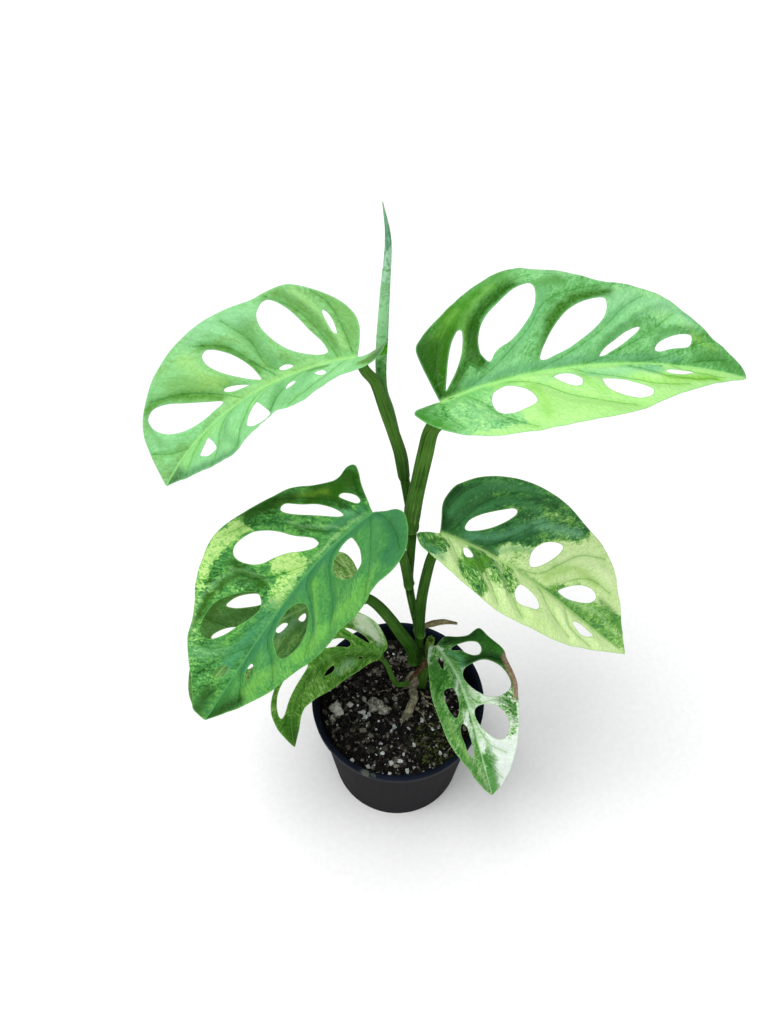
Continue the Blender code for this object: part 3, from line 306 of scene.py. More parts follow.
MIDDLE_LEFT = Leaf(
    name="middle_left", base=(-13, -10, 257.5), length=122, heading=(192, 59, -21), slope=(-39, -30, 38),
    roll=(0, 0), left_fold=(10, 0), right_fold=(20, 0), wave=0.9, curl=0,
    left_edge=((-6, 4), (-12, 8), (-15.5, 14), (-15, 24), (-10, 33.5), (1, 38.8), (23, 38.6), (46, 36),
        (65, 30.5), (86, 23), (101, 15.5), (114, 6.6)),
    right_edge=((-0.5, -6), (-1, -13), (-2.5, -21), (1, -23), (7, -21), (15, -25), (24, -32), (38, -38),
        (57, -42.5), (69, -41), (77, -37), (82, -32.5), (89, -28.5), (97, -26), (105, -20), (112, -13.6),
        (117, -9.6), (120.6, -7.2), (121.6, -3.6)),
    windows=(
        ((2.5, -7.5), (4.2, -7.1), (6.7, -10), (9.2, -13.8), (9, -14.9), (7.2, -14.6), (4.5, -12.5),
         (2.8, -10)),
        ((11.3, -6.4), (13.5, -7.2), (17.5, -10.8), (22.5, -15.8), (26.7, -20.2), (30, -24.4),
         (31.4, -27.6), (30.4, -29.3), (28.2, -28.6), (25.8, -25.8), (22.8, -22.4), (18.3, -18.3),
         (14.5, -13.5), (12.1, -9.5)),
        ((27, -4.8), (30.5, -4.9), (35, -7.5), (40, -11.6), (45.8, -14.9), (50.8, -17.2), (54.5, -20.8),
         (57, -25.8), (56.8, -30), (54.2, -32.1), (50.5, -32), (45, -30.2), (40.4, -26), (36.8, -21),
         (34.9, -17.6), (32.6, -14.2), (30, -11.2), (27.6, -8)),
        ((62, -11.7), (62.8, -8.6), (66.7, -6.6), (72.5, -7.6), (79.2, -10.3), (85.8, -13), (90.8, -16.7),
         (92.4, -20), (91, -23), (86.7, -24.8), (80.8, -25.2), (75.8, -24.2), (70.4, -20.8), (65.4, -16.6)),
        ((96.5, -3.6), (99.2, -3), (103.2, -4.9), (103.9, -7.4), (101.7, -8.2), (98.8, -7.4), (96.9, -5.4)),
        ((8.6, 19), (9.6, 22.4), (12.5, 24.3), (16.9, 24), (21.7, 21.3), (25.5, 16.7), (27.1, 12.5),
         (26.2, 9), (23.2, 6.3), (19.2, 4.5), (15.2, 3.9), (12.2, 5), (10, 9.2), (8.6, 14)),
        ((47.8, 11.7), (49.2, 15.8), (53.3, 19.7), (59.2, 21.8), (65.8, 22), (71.7, 20), (74.4, 16.7),
         (74.2, 12.3), (71.7, 8.3), (66.7, 5.3), (60.8, 4.6), (55, 5.8), (50, 8.6)),
        ((87.4, 5.8), (88, 8), (90.8, 9.2), (94.2, 9), (96.8, 7.3), (95, 5.3), (91.7, 4.3), (89.2, 4.4))),
    petiole=Petiole(2.4, 1.9, ((4.3, 13.2, 171.5), (2.8, 12.2, 186.5), (-0.1, 9.3, 205.5),
        (-4.6, 3, 224.5), (-9.3, -4.6, 243))),
    veins=(
        ((0, 0), (-5, 6), (-9, 16), (-10, 27)), ((1, 0), (2, 12), (5, 25), (12, 36)),
        ((12, 0), (26, 4), (31, 14), (34, 24), (42, 33)), ((32, 0), (43, 4), (46, 14), (51, 22), (62, 27)),
        ((58, 0), (74, 4), (79, 12), (84, 19), (90, 20)), ((82, 0), (94, 2), (102, 8), (107, 11)),
        ((1, 0), (2, -8), (1, -18)), ((4, 0), (11, -13), (20, -23), (31, -34)),
        ((14, 0), (25, -10), (32, -20), (41, -32), (52, -38)),
        ((34, 0), (50, -9), (59, -17), (64, -28), (75, -36)), ((56, 0), (76, -5.5), (92, -12), (97, -21)),
        ((82, 0), (96, -9), (107, -14)), ((100, 0), (110, -4), (116, -5))),
    left_paint=(0.38, 0.12), right_paint=(0.42, 0.34),
    patches=(
        Patch(16, 33, 22, 5.5, 0, 0.46, 0.2), Patch(85, 19, 25, 6, -18, 0.5, 0.2),
        Patch(55, 27, 14, 4, -10, 0.5, 0.16), Patch(-8, 22, 7, 14, 0, 0.36, 0.16),
        Patch(10, -16, 16, 9, -10, 0.1, 0.3), Patch(24, -16, 14, 3, -50, 0.42, 0.4),
        Patch(42, -9, 8, 5, -35, 0.96, 0.3), Patch(55, -4, 11, 3.6, -4, 0.86, 0.5),
        Patch(46, -35, 9, 4.4, -22, 0.9, 0.4), Patch(60, -38.5, 10, 4.2, -6, 0.95, 0.34),
        Patch(74, -35, 8, 4, 30, 0.8, 0.55), Patch(38, -32, 8, 5, -25, 0.24, 0.5),
        Patch(60, -18, 6, 10, 0, 0.2, 0.6), Patch(72, -30, 9, 4, 10, 0.34, 0.6),
        Patch(93, -25, 15, 6, 30, 0.44, 0.6), Patch(104, -10, 12, 7, -20, 0.34, 0.5),
        Patch(86, -4.5, 14, 3.5, -5, 0.34, 0.25)),
    washes=(
        Wash("#357a4c", 0.7, 5.5, ((-11, 8), (-11, 20), (-6, 32)), 0.3),
        Wash("#2a6c4c", 0.5, 1.2, ((-2, 3), (-6, 10), (-8, 20), (-4, 31)), 0.2),
        Wash("#3b8058", 0.7, 3.4, ((-4, 3), (20, 2.5), (50, 2.5), (92, 2.5))),
        Wash("#3f8a5c", 0.4, 2.6, ((26, 4), (30, 14), (33, 25), (42, 32)), 0.25),
        Wash("#3f8a5c", 0.4, 2.2, ((36, 3), (44, 6), (46.5, 16), (52, 25)), 0.25),
        Wash("#3f885c", 0.4, 2.2, ((62, 3), (76, 6), (80, 13), (87, 19)), 0.25),
        Wash("#76bc4c", 0.45, 3, ((6, 34), (16, 35), (30, 33), (48, 30), (66, 25)), -0.3),
        Wash("#80c650", 0.5, 2, ((37, 10), (41, 18), (44, 24)), -0.2),
        Wash("#78b446", 0.4, 2.4, ((80, 17), (90, 15), (100, 10)), -0.2),
        Wash("#4f9a5c", 0.5, 4, ((0, 8), (2, 18), (5, 26)), -0.2),
        Wash("#2f6a2c", 0.7, 6, ((110, 3), (121, 1))),
        Wash("#1f4a10", 0.92, 2.6, ((103, 10.5), (112, 6), (121.5, 0.6)), 0.2),
        Wash("#a6d890", 0.65, 0.6, ((4, -1.7), (30, -2), (62, -2.2))),
        Wash("#2d6202", 0.9, 4.6, ((2, -17), (10, -18), (18, -22)), 0.4),
        Wash("#729c2c", 0.6, 1.2, ((12, -19), (22, -26), (31, -31.5))),
        Wash("#27560a", 0.85, 3.2, ((25, -28), (33, -34), (42, -38)), 0.3),
        Wash("#3c8058", 0.75, 2.2, ((3, -3), (12, -5), (20, -5))),
        Wash("#6eb27e", 0.6, 0.9, ((7, -5), (14, -9.5), (20, -16))),
        Wash("#94c48c", 0.5, 0.7, ((17, -4.6), (23, -10), (28, -15.5), (33, -23))),
        Wash("#265c18", 0.8, 0.9, ((21, -5.4), (27, -11.5), (31.5, -18)), 0.3),
        Wash("#2c6410", 0.85, 2.2, ((58, -12), (60, -20), (60, -29)), 0.8),
        Wash("#335e08", 0.85, 1.5, ((63, -24.5), (74, -28), (90, -27)), 0.5),
        Wash("#8cbc80", 0.4, 1, ((62, -27.5), (74, -31), (86, -30), (96, -24))),
        Wash("#86bc78", 0.4, 0.9, ((55, -11), (58, -20), (62, -26))),
        Wash("#4a9468", 0.65, 3, ((62, -3), (80, -3.5), (98, -5))),
        Wash("#74b478", 0.45, 3, ((92, -10), (98, -16), (100, -22)), -0.2),
        Wash("#2a5a1c", 0.85, 3.4, ((111, -5), (116, -6), (121, -5)), 0.2)),
    colours=("#285a0c", "#448c46", "#72b852", "#c0e68a"), rib_colour="#58a062")

LOWER_RIGHT = Leaf(
    name="lower_right", base=(17, 4, 226.5), length=118, heading=(-2, -42, 29), slope=(-24, -41, 28),
    roll=(0, 0), left_fold=(30, 0), right_fold=(0, 0), wave=0.7, curl=0,
    left_edge=((-1, 7), (-2, 14), (1, 21.6), (3.6, 24.6), (11, 31), (21, 36.6), (30, 39), (42, 39.4),
        (55, 39.2), (64, 36.8), (76, 33.4), (88, 28), (98, 19.8), (108, 9.2)),
    right_edge=((-6, -1.5), (-11.5, -4.5), (-9.5, -10), (-1, -16), (11, -22), (24, -25.5), (40, -26.5),
        (60, -23.5), (78, -19), (95, -11.5), (108, -5)),
    windows=(
        ((10.3, 6), (11.3, 10), (15, 14.4), (19.5, 18.2), (24.2, 21.8), (27.6, 24.2), (29.6, 23.8),
         (29.6, 21.5), (27.2, 17.3), (23.3, 12.5), (18.8, 8.6), (15, 6.3), (11.7, 5.1)),
        ((43.8, 10), (44.7, 14.2), (47.5, 18.3), (51.7, 21.3), (55.8, 22.4), (57.1, 20.8), (56.7, 17.3),
         (55, 13.1), (52.2, 8.6), (49.4, 5.8), (47.2, 5.2), (45, 6.9)),
        ((67, 3.5), (68.3, 6.3), (71.7, 10), (75.8, 13), (80.8, 14.6), (84.5, 13.9), (85.9, 11.6),
         (84.2, 8.5), (80, 5.8), (75, 3.8), (70.8, 3)),
        ((12, -3), (14.7, -2.3), (17, -5), (16.3, -7.5), (13.8, -8.5), (11.8, -6.7)),
        ((45, -6.5), (49.2, -6), (53.3, -7.3), (57.2, -9.8), (57.7, -12.3), (55, -14.6), (50, -15.9),
         (45.6, -15.6), (43.1, -12.5), (43.2, -9)),
        ((81, -4.3), (84.2, -2.7), (89.2, -2.2), (94.7, -3.3), (94.2, -4.7), (90.8, -6.9), (86.7, -7.7),
         (81.7, -6))),
    petiole=Petiole(2.9, 2.3, ((11.7, 12.7, 126), (10.8, 13.3, 140.5), (11.4, 13, 164.5),
        (13.6, 10.4, 194.5), (15.6, 7.2, 211.5)), 0.7),
    veins=(
        ((0, 0), (0, 9), (4, 19), (11, 28)), ((4, 0), (9, 10), (16, 22), (28, 33), (40, 37)),
        ((12, 0), (25, 4), (34, 14), (44, 27), (57, 35)), ((36, 0), (52, 4), (60, 14), (67, 24), (79, 30)),
        ((58, 0), (65, 3), (69, 11), (79, 18), (92, 19)), ((80, 0), (92, 5), (102, 9)),
        ((1, 0), (-4, -5), (-8, -8)), ((3, 0), (8, -8), (13, -18)), ((18, 0), (24, -9), (34, -22)),
        ((34, 0), (39, -11), (49, -21)), ((56, 0), (66, -8), (80, -14)), ((74, 0), (80, -8), (94, -10))),
    left_paint=(0.93, 0.08), right_paint=(0.94, 0.07),
    patches=(
        Patch(9, 18, 37, 26, 15, 0.27, 0.24), Patch(38, 32, 27, 10, 4, 0.34, 0.36),
        Patch(50, 28, 13, 7, 35, 0.46, 0.35), Patch(40, 6, 12, 5.6, 25, 0.88, 0.3),
        Patch(90, 4, 31, 8, 3, 0.6, 0.26), Patch(97, 9, 11, 4.5, 12, 0.54, 0.26),
        Patch(80, 1, 24, 1.6, 0, 0.46, 0.3), Patch(-6, -6, 8, 8, 0, 0.46, 0.55),
        Patch(19, -7, 7.5, 8, 0, 0.46, 0.3), Patch(18, -18, 10, 4.6, -42, 0.5, 0.5),
        Patch(35, -9, 9, 8, -30, 0.68, 0.55), Patch(75, -8, 22, 7, -10, 1, 0.03)),
    washes=(
        Wash("#0f3a10", 0.85, 3.2, ((-0.5, 4), (0, 12), (3, 21)), 0.3),
        Wash("#1a4a20", 0.7, 1, ((2, 3), (6, 17), (13, 27), (26, 34.5)), 0.3),
        Wash("#1e5026", 0.65, 1.1, ((6, 6), (12, 17), (21, 25), (34, 32), (46, 35)), 0.35),
        Wash("#4f9058", 0.75, 2.4, ((2, 11), (8.5, 23), (19, 31.5), (36, 37)), -0.3),
        Wash("#4c8e58", 0.7, 2, ((9, 9), (15, 18), (24, 26), (37, 30)), -0.2),
        Wash("#5c9c74", 0.7, 2.2, ((13, 3), (25, 7.5), (34, 16), (43, 26)), -0.3),
        Wash("#2a6038", 0.6, 1, ((18, 2.5), (28, 7), (36, 14), (42, 21)), 0.25),
        Wash("#7ab68e", 0.65, 2.4, ((42, 24), (51, 28), (60, 32)), -0.2),
        Wash("#8cc080", 0.75, 1.4, ((29, 3), (35, 7.5), (43, 11.5))),
        Wash("#a2cc68", 0.65, 2, ((57, 4), (62, 12), (68, 17.5), (82, 18)), 0.15),
        Wash("#aed27c", 0.5, 1.4, ((58, 12), (66, 22), (80, 27)), 0.4),
        Wash("#e4f7c0", 0.55, 2.6, ((59, 16), (72, 25), (88, 23)), -0.3),
        Wash("#5a9440", 0.8, 0.8, ((42, 0.3), (70, 0.3), (113, 0.2))),
        Wash("#4c8a34", 0.75, 1.6, ((88, 12.6), (98, 12.6), (107, 8)), 0.2),
        Wash("#acd490", 0.55, 0.8, ((70, 2.6), (82, 5.5), (94, 7), (106, 5))),
        Wash("#3f7a2c", 0.7, 1.8, ((-9, -4), (-5, -7), (-1, -4)), 0.2),
        Wash("#4f8f66", 0.65, 2, ((-8, -8), (-4, -11), (0, -13.5))),
        Wash("#5c9a20", 0.8, 2.4, ((14, -11), (20, -10), (24, -4)), 0.2),
        Wash("#bfe488", 0.4, 2.6, ((42, -18), (56, -20), (70, -16)), 0.1),
        Wash("#a4cf74", 0.55, 0.9, ((56, -1), (66, -5), (70, -11)), 0.3),
        Wash("#4f8c5c", 0.6, 0.8, ((29, -3), (33, -9), (38, -17))),
        Wash("#4c8a34", 0.6, 0.8, ((12, -9), (15, -16), (24, -23)))),
    colours=("#1d4a20", "#3f7f42", "#84bb58", "#dcf4b0"), rib_colour="#b5dc88")

LOW_RIGHT = Leaf(
    name="low_right", base=(20, 8, 122.5), length=91, heading=(-54, -73, 72), slope=(19, -114, 33),
    roll=(-15, 0), left_fold=(25, 0), right_fold=(10, 0), wave=0.7, curl=0,
    left_edge=((-0.5, 7), (4, 12), (6.6, 17), (6.8, 24), (12, 25.2), (16, 27), (20.6, 28.8), (24, 28),
        (31, 28), (36, 27.6), (41, 26), (52, 23.5), (63, 20), (74, 15), (85, 8.5)),
    right_edge=((-1, -3), (4, -8), (12, -13.5), (23, -19), (34, -21), (46, -20), (56, -17), (68, -11),
        (80, -6)),
    windows=(
        ((7.5, 5), (7.7, 10), (9.2, 15), (11.7, 18.3), (15, 18.9), (17.1, 16.8), (16.8, 14), (15, 11.2),
         (11.7, 8.2), (9.2, 5.2)),
        ((19.5, 9), (19.7, 15), (21.7, 19.4), (25.8, 23.2), (31.7, 25), (36, 24.4), (38.3, 20.8),
         (38.9, 15.8), (37.2, 10.8), (33.3, 6.3), (28.3, 3.4), (24, 2.7), (20.8, 4.6)),
        ((40.3, 5.8), (40.8, 10), (43.3, 14.7), (47.5, 17.6), (52.5, 18.1), (57.5, 16), (59.5, 13.3),
         (59.2, 10), (55.8, 6.3), (50, 2.9), (45, 1.7), (41.6, 2.7)),
        ((9.7, -3), (11.7, -2.3), (15, -4.2), (17.1, -5.9), (15, -7.5), (11.7, -7.2), (9.6, -5.2)),
        ((28, -9.2), (28.8, -6.3), (32.5, -4.9), (37.5, -5.7), (41.2, -7.5), (43, -10), (41.5, -12.6),
         (37.5, -14.1), (32.5, -13.9), (28.9, -12)),
        ((46.6, -6.2), (49.2, -4.7), (55.8, -4.2), (60.8, -4), (63.8, -5.4), (63.2, -7.5), (59.2, -9.5),
         (53.3, -10), (48.3, -8.7))),
    petiole=Petiole(3.3, 2.1, ((14.3, 13, 59.5), (14.6, 12.6, 72.5), (15.6, 11.4, 90.5),
        (17.8, 9.6, 107.5))),
    veins=(
        ((1, 0), (3, 9), (7, 21)), ((7, 0), (17, 6), (19, 18), (24, 26)),
        ((22, 0), (38, 4), (40, 14), (46, 22)), ((44, 0), (60, 5), (68, 13)), ((66, 0), (75, 4), (83, 8)),
        ((1, 0), (6, -5), (11, -11)), ((12, 0), (20, -8), (31, -18)), ((28, 0), (44, -4.5), (50, -16)),
        ((54, 0), (66, -3.5), (73, -7))),
    left_paint=(0.97, 0.05), right_paint=(0.44, 0.28),
    patches=(
        Patch(9, 16, 20, 14, 30, 0.16, 0.25), Patch(24, 23, 9, 7, 10, 0.2, 0.25),
        Patch(10, 3, 12, 4, 0, 0.4, 0.35), Patch(33, 24, 10, 5, -10, 0.2, 0.3),
        Patch(30, 2, 10, 2.5, 0, 0.6, 0.4), Patch(45, 3, 15, 4, -5, 0.8, 0.3),
        Patch(44, 20, 9, 6, -15, 0.56, 0.75), Patch(54, 20, 7, 3, -20, 0.66, 0.6),
        Patch(78, 2.5, 17, 3.9, -4, 0.4, 0.2), Patch(47, -3.5, 7, 3, 0, 0.74, 0.4),
        Patch(76, -4, 15, 5, 0, 0.5, 0.3), Patch(20, -12, 10, 6, -30, 0.26, 0.3),
        Patch(10, -3, 9, 3, -20, 0.5, 0.4)),
    washes=(
        Wash("#123f08", 0.9, 3.4, ((2, 6), (5, 14), (9, 23)), 0.3),
        Wash("#12400a", 0.85, 2.2, ((18, 8), (18.4, 17), (24, 26)), 0.6),
        Wash("#2f7a20", 0.5, 1.6, ((9, 22), (15, 24), (22, 27))),
        Wash("#5c9f74", 0.65, 2, ((9, 2.5), (16, 5.5), (24, 2.4)), -0.2),
        Wash("#2f6a1c", 0.6, 1.6, ((40, 16), (44, 21), (52, 21)), 0.3),
        Wash("#5f9a48", 0.5, 2, ((12, 1.5), (26, 1.8), (40, 1.8))),
        Wash("#e2ebe4", 0.9, 4.4, ((61, 9), (69, 11.5), (77, 9.4), (84, 7.6))),
        Wash("#4a8f3a", 0.85, 2, ((67, 1), (75, 2.6), (83, 2.8), (90, 1.2))),
        Wash("#dcebdc", 0.75, 0.9, ((1, -4), (6, -9.5), (13, -15))),
        Wash("#e2eee6", 0.7, 0.9, ((25, -1.6), (30, -4.4), (33, -4.4))),
        Wash("#dfece2", 0.6, 1, ((42, -2.6), (48, -3.4), (55, -2.6))),
        Wash("#3a7a24", 0.6, 2.4, ((12, -8), (20, -14), (32, -18), (44, -18)), 0.3),
        Wash("#3f7d30", 0.6, 1.8, ((60, -12), (72, -7), (84, -3)), 0.2),
        Wash("#a2cc88", 0.55, 1.1, ((60, -6.5), (72, -4), (84, -2))),
        Wash("#8fc06a", 0.5, 1.6, ((44, -16), (54, -13), (64, -9)))),
    colours=("#1e5212", "#41842e", "#94c27c", "#eaf3ea"), rib_colour="#b0d8a4")

LOW_LEFT = Leaf(
    name="low_left", base=(-9, 12, 107.5), length=94, heading=(165, 107, 24), slope=(12, -85, 5),
    roll=(-10, 0), left_fold=(5, 0), right_fold=(20, 0), wave=0.5, curl=0,
    left_edge=((1, 4), (6, 7.8), (12, 12), (21, 15.6), (34, 17.2), (45, 15.8), (57, 11), (68, 6.2),
        (82, 4)),
    right_edge=((-1.5, -4), (2, -10), (8, -17), (18, -22), (31, -21), (42, -16.5), (54, -13), (68, -12.5),
        (76, -9.5), (85, -4.5)),
    windows=(
        ((42.5, -3.9), (45, -2.2), (50.8, -1.6), (57.5, -1.9), (64.2, -2.6), (70.8, -3.6), (73.8, -5.5),
         (71.7, -7.9), (65.8, -9.7), (59.2, -10.1), (51.7, -8.9), (45.8, -6.7)),
        ((17.6, -3), (19.5, -1.6), (21.7, -2.2), (25.8, -3.7), (30.2, -5), (30.4, -7), (25.8, -8.2),
         (21.2, -7.3), (18.3, -5.2)),
        ((8, -3.6), (10.8, -4.7), (15.8, -8.3), (19.6, -12.4), (17.5, -12.1), (12.5, -8.9), (9.2, -6)),
        ((30, 6.3), (31.7, 8.6), (35.8, 9.3), (39.6, 8.3), (36.7, 6.7), (32.5, 5.8)),
        ((11, 5.3), (12.6, 5.8), (14.2, 4.9), (13, 4.2), (11.4, 4.4))),
    petiole=Petiole(1.7, 1.4, ((8.3, 13, 61.5), (7.9, 12.2, 72.5), (3.6, 9.6, 75.3), (-0.6, 8.6, 77.5),
        (-3.4, 9.2, 85.5), (-6.7, 10.9, 97.5)), 0.1),
    veins=(
        ((2, 0), (8, 4), (16, 12)), ((9, 0), (22, 4.5), (34, 14)), ((24, 0), (42, 3.5), (55, 10)),
        ((46, 0), (60, 3.5), (70, 5)), ((1, 0), (3, -8), (9, -17)), ((8, 0), (18, -8), (28, -19)),
        ((26, 0), (38, -5), (46, -14)), ((68, 0), (76, -3), (80, -7))),
    left_paint=(0.42, 0.36), right_paint=(0.36, 0.34),
    patches=(
        Patch(25, 9, 7, 4, 0, 0.62, 0.35), Patch(50, 8, 12, 5, -20, 0.5, 0.4),
        Patch(10, -13, 8, 5, -45, 0.95, 0.35), Patch(20, -17, 7, 3, -20, 0.5, 0.5),
        Patch(84, 0.5, 9, 5, 0, 0.2, 0.2), Patch(84, -2, 9, 5, 0, 0.2, 0.2)),
    washes=(
        Wash("#2a6008", 0.6, 2, ((3, 3), (14, 4), (28, 3.4)), 0.3),
        Wash("#2d6608", 0.5, 2, ((34, 3), (58, 2), (80, 1)), 0.3),
        Wash("#8fc294", 0.6, 2.2, ((18, 8), (24, 9), (30, 10.5)), -0.2),
        Wash("#2a600e", 0.5, 1.4, ((12, 12), (28, 15.5), (46, 14.5))),
        Wash("#cfe0c0", 0.9, 2.2, ((3, -6), (8, -11), (13, -16))),
        Wash("#2f5f18", 0.75, 1.1, ((6, -5), (13, -10), (20, -17)), 0.3),
        Wash("#1c4a08", 0.8, 2.4, ((84, 0.5), (93, 0.2)))),
    colours=("#285c0a", "#52902a", "#8cc05a", "#d6e4c8"), rib_colour="#5f9640")

REAR_LEFT = Leaf(
    name="rear_left", base=(-21, 0, 187.5), length=116, heading=(181, 38, -3), slope=(-18, -42, 8),
    roll=(0, 0), left_fold=(12, 0), right_fold=(20, 0), wave=0.7, curl=0,
    left_edge=((-1.5, 5), (-2, 10), (1.5, 15.5), (10, 21), (23.5, 26), (41, 28), (63.5, 26), (89, 18.5),
        (107, 8.5)),
    right_edge=((-1, -5), (-1, -11), (3, -19), (10, -22), (19, -21.5), (29.5, -21), (43, -24), (53, -28.5),
        (65, -30.5), (74, -29.6), (83, -25.2), (92.5, -18.5), (109, -7.5)),
    windows=(
        ((46.6, -13.4), (49.2, -12.2), (54.2, -14.2), (60, -17.7), (63.6, -21.6), (62.6, -23),
         (55.8, -22.1), (49.2, -19), (47, -16.4)),
        ((65, -9.5), (67.5, -8.9), (73.3, -10.8), (79.3, -14.2), (77.8, -15.8), (72.5, -14.7), (67.5, -12)),
        ((26.8, 6), (27.8, 8.7), (29.5, 9.2), (31.3, 7), (30.5, 4.2), (28.3, 3.4)),
        ((38.6, 4.3), (40.8, 6.3), (44.2, 7), (46.1, 5.3), (45, 3.3), (42.2, 2.4), (40, 3)),
        ((13, 6.5), (13.6, 4.2), (16, 5), (18.5, 9), (19, 12.5), (18, 15), (15.5, 14), (13.5, 10)),
        ((12.5, -5.5), (14.5, -4), (17, -5.5), (20, -9.5), (21.3, -13), (19.5, -14.2), (16, -12),
         (13.2, -8.5)),
        ((54, 9), (55.5, 6.6), (60, 7.5), (64.5, 11.5), (66.4, 15.4), (64, 16.8), (58, 15), (54.8, 12))),
    petiole=Petiole(3.6, 2.5, ((9.5, 14.5, 94.5), (6.7, 12.8, 113.5), (0, 10, 134.5), (-5, 7, 151.5),
        (-10.8, 3.5, 168.5), (-15.7, 1.7, 177.5)), 0.7),
    veins=(
        ((2, 0), (6, 10), (11, 20)), ((18, 0), (26, 13), (36, 25)), ((32, 0), (50, 11), (62, 23)),
        ((56, 0), (74, 9), (87, 17)), ((80, 0), (92, 7), (102, 8)), ((2, 0), (4, -10), (10, -19)),
        ((14, 0), (28, -9), (37, -20)), ((34, 0), (45, -10), (52, -26)), ((54, 0), (68, -12), (77, -26)),
        ((76, 0), (88, -8), (98, -12))),
    left_paint=(0.4, 0.28), right_paint=(0.38, 0.3),
    patches=(
        Patch(5, -12, 8, 9, 0, 0.66, 0.5), Patch(38, -18, 14, 6, -5, 0.85, 0.4),
        Patch(66, -19, 24, 13, 0, 0.12, 0.25), Patch(100, -6, 16, 8, 0, 0.2, 0.2),
        Patch(20, 20, 16, 5, 20, 0.42, 0.25)),
    washes=(
        Wash("#b9d884", 0.8, 2.2, ((28, -17), (36, -18.5), (44, -20))),
        Wash("#2c5410", 0.75, 3.6, ((52, -26), (64, -28), (76, -25)), 0.3),
        # painted shadow that the middle left leaf casts over this part of the blade
        Wash("#335c24", 0.6, 4.5, ((56, -14), (68, -18), (82, -16))),
        Wash("#7cab78", 0.5, 3.2, ((34, 6), (46, 12), (58, 18)), -0.2),
        Wash("#6f9f74", 0.5, 3, ((12, 5), (30, 9), (60, 7), (84, 5))),
        Wash("#35651c", 0.55, 2, ((22, 6), (34, 14), (44, 22)), 0.4)),
    colours=("#335f18", "#5a9048", "#8cb85c", "#c8e29c"), rib_colour="#8ab870")

LEAVES = (UPPER_RIGHT, UPPER_LEFT, MIDDLE_LEFT, LOWER_RIGHT, LOW_RIGHT, LOW_LEFT, REAR_LEFT)
CLASPING_LEAVES = (UPPER_RIGHT, MIDDLE_LEFT, LOWER_RIGHT, REAR_LEFT)

# Stem, as its leaf scars and the leaning between them
STEM_PATH = ((14.2, 20.5, 58.5), (14.0, 20.0, 72.5), (12.6, 19, 98.5), (10.8, 18, 122.5), (7.2, 18, 146.5),
             (4.7, 18, 167.5), (4.8, 18.2, 191.5), (5.1, 18.8, 213.5), (2.9, 19.3, 231.5), (0.8, 19, 246.5))
STEM_RADIUS = 2.1
STEM_RING_HEIGHTS = (85.5, 122.5, 167.5, 213.5)
STEM_RING_GROWTH = 0.75
STEM_RING_SPREAD = 1.3
STEM_PINCH = 0.2

# Stalks: the tail is the end that thins out under the blade, and a collar's profile is (steps of
# half a millimetre from its foot, size)
STALK_SIDES = 44
STALK_TAIL = 18.0
COLLAR_SIDES = 40
COLLAR_STEPS = 22
COLLAR_PROFILE = ((0, 1, 3, 7, 21), (1.0, 1.14, 1.14, 1.06, 0.88))

# Rolled leaf, cut leaf base, old root, dry sheath and turned lobe
SPIKE_POINTS = ((-1.2, 18.9, 262), (-3.6, 19.4, 274), (-6.0, 20.0, 285.5), (-8.6, 18.8, 296.5),
                (-9.2, 17.4, 310.5), (-8.9, 16.7, 322.5), (-7.8, 16.3, 343.5), (-6.8, 16, 362.5),
                (-8.5, 16, 375.8))
SPIKE_RADII = (1.3, 1.9, 2.0, 2.1, 2.1, 2.05, 1.7, 1.1, 0.15)
STUB_POINTS = ((16.9, 18.2, 93.5), (17.4, 17.2, 104.5), (18.1, 16.6, 114.5))
STUB_RADII = (1.7, 2.4, 2.3)
# Lip and hollow of the cut: (height over the end, share of its radius, length along the skin)
STUB_CUT = ((0.4, 0.93, 0.4), (0.2, 0.74, 1.2), (-1.2, 0.6, 2.4), (-2.4, 0.35, 3.6))
ROOT_POINTS = ((8.6, 8.0, 61.5), (8.9, 7.0, 71.5), (9.6, 2, 73), (6.4, -6, 72), (1.6, -11.5, 65.5))
ROOT_RADII = (2.2, 2.5, 2.4, 2.2, 1.8)
SHEATH_PATH = ((13.2, 18.6, 124.8), (19, 18.6, 127.5), (25, 18.3, 129.8), (32, 18, 129))
SHEATH_WIDTHS = (2.2, 3.4, 3.0, 1.2)
SHEATH_COLUMNS = 15
LOBE_TOP = ((-12.2, 8.0, 322.8), (-10.4, 7.0, 325.0), (-8.8, 6.0, 327.8), (-7.0, 5.2, 332.2))
LOBE_FOOT = ((-12.0, 8.3, 322.2), (-10.2, 8.0, 322.4), (-8.5, 7.6, 322.9), (-6.9, 7.2, 324.2))
LOBE_ROWS = 29
LOBE_COLUMNS = 9

# Fine roots that lie on the soil: (radius, (x, y) points)
FINE_ROOTS = (
    (0.75, ((13, 8), (17, 4), (22, 4.5), (27, 1), (30, 2))),
    (0.5, ((14, 5), (18, 0), (24, -2), (28, -6))),
    (0.45, ((4, 6), (-2, 5), (-8, 8), (-13, 7))),
    (0.4, ((9, -4), (14, -7), (17, -13), (22, -14))),
    (0.4, ((26, -30), (31, -26), (33, -21), (36, -18))),
    (0.35, ((-30, -8), (-26, -12), (-20, -13))))
# The dried brown strand that hangs from the crown of the low leaf, and the crown of the old root
STRAND_POINTS = ((18.0, 9.4, 111), (14.8, 8.6, 101), (11.6, 9.2, 92), (8.3, 10.0, 84), (7.0, 10.4, 77.5))
STRAND_RADII = ((0, 0.3, 0.7, 1), (0.7, 1.5, 1.3, 0.7))
CROWN_POINTS = ((8.4, 13.0, 65.5), (8.9, 12.8, 72), (9.8, 12.9, 78.5))
CROWN_RADII = ((0, 0.5, 1), (5.4, 4.6, 3.4))


# Nodes and colours


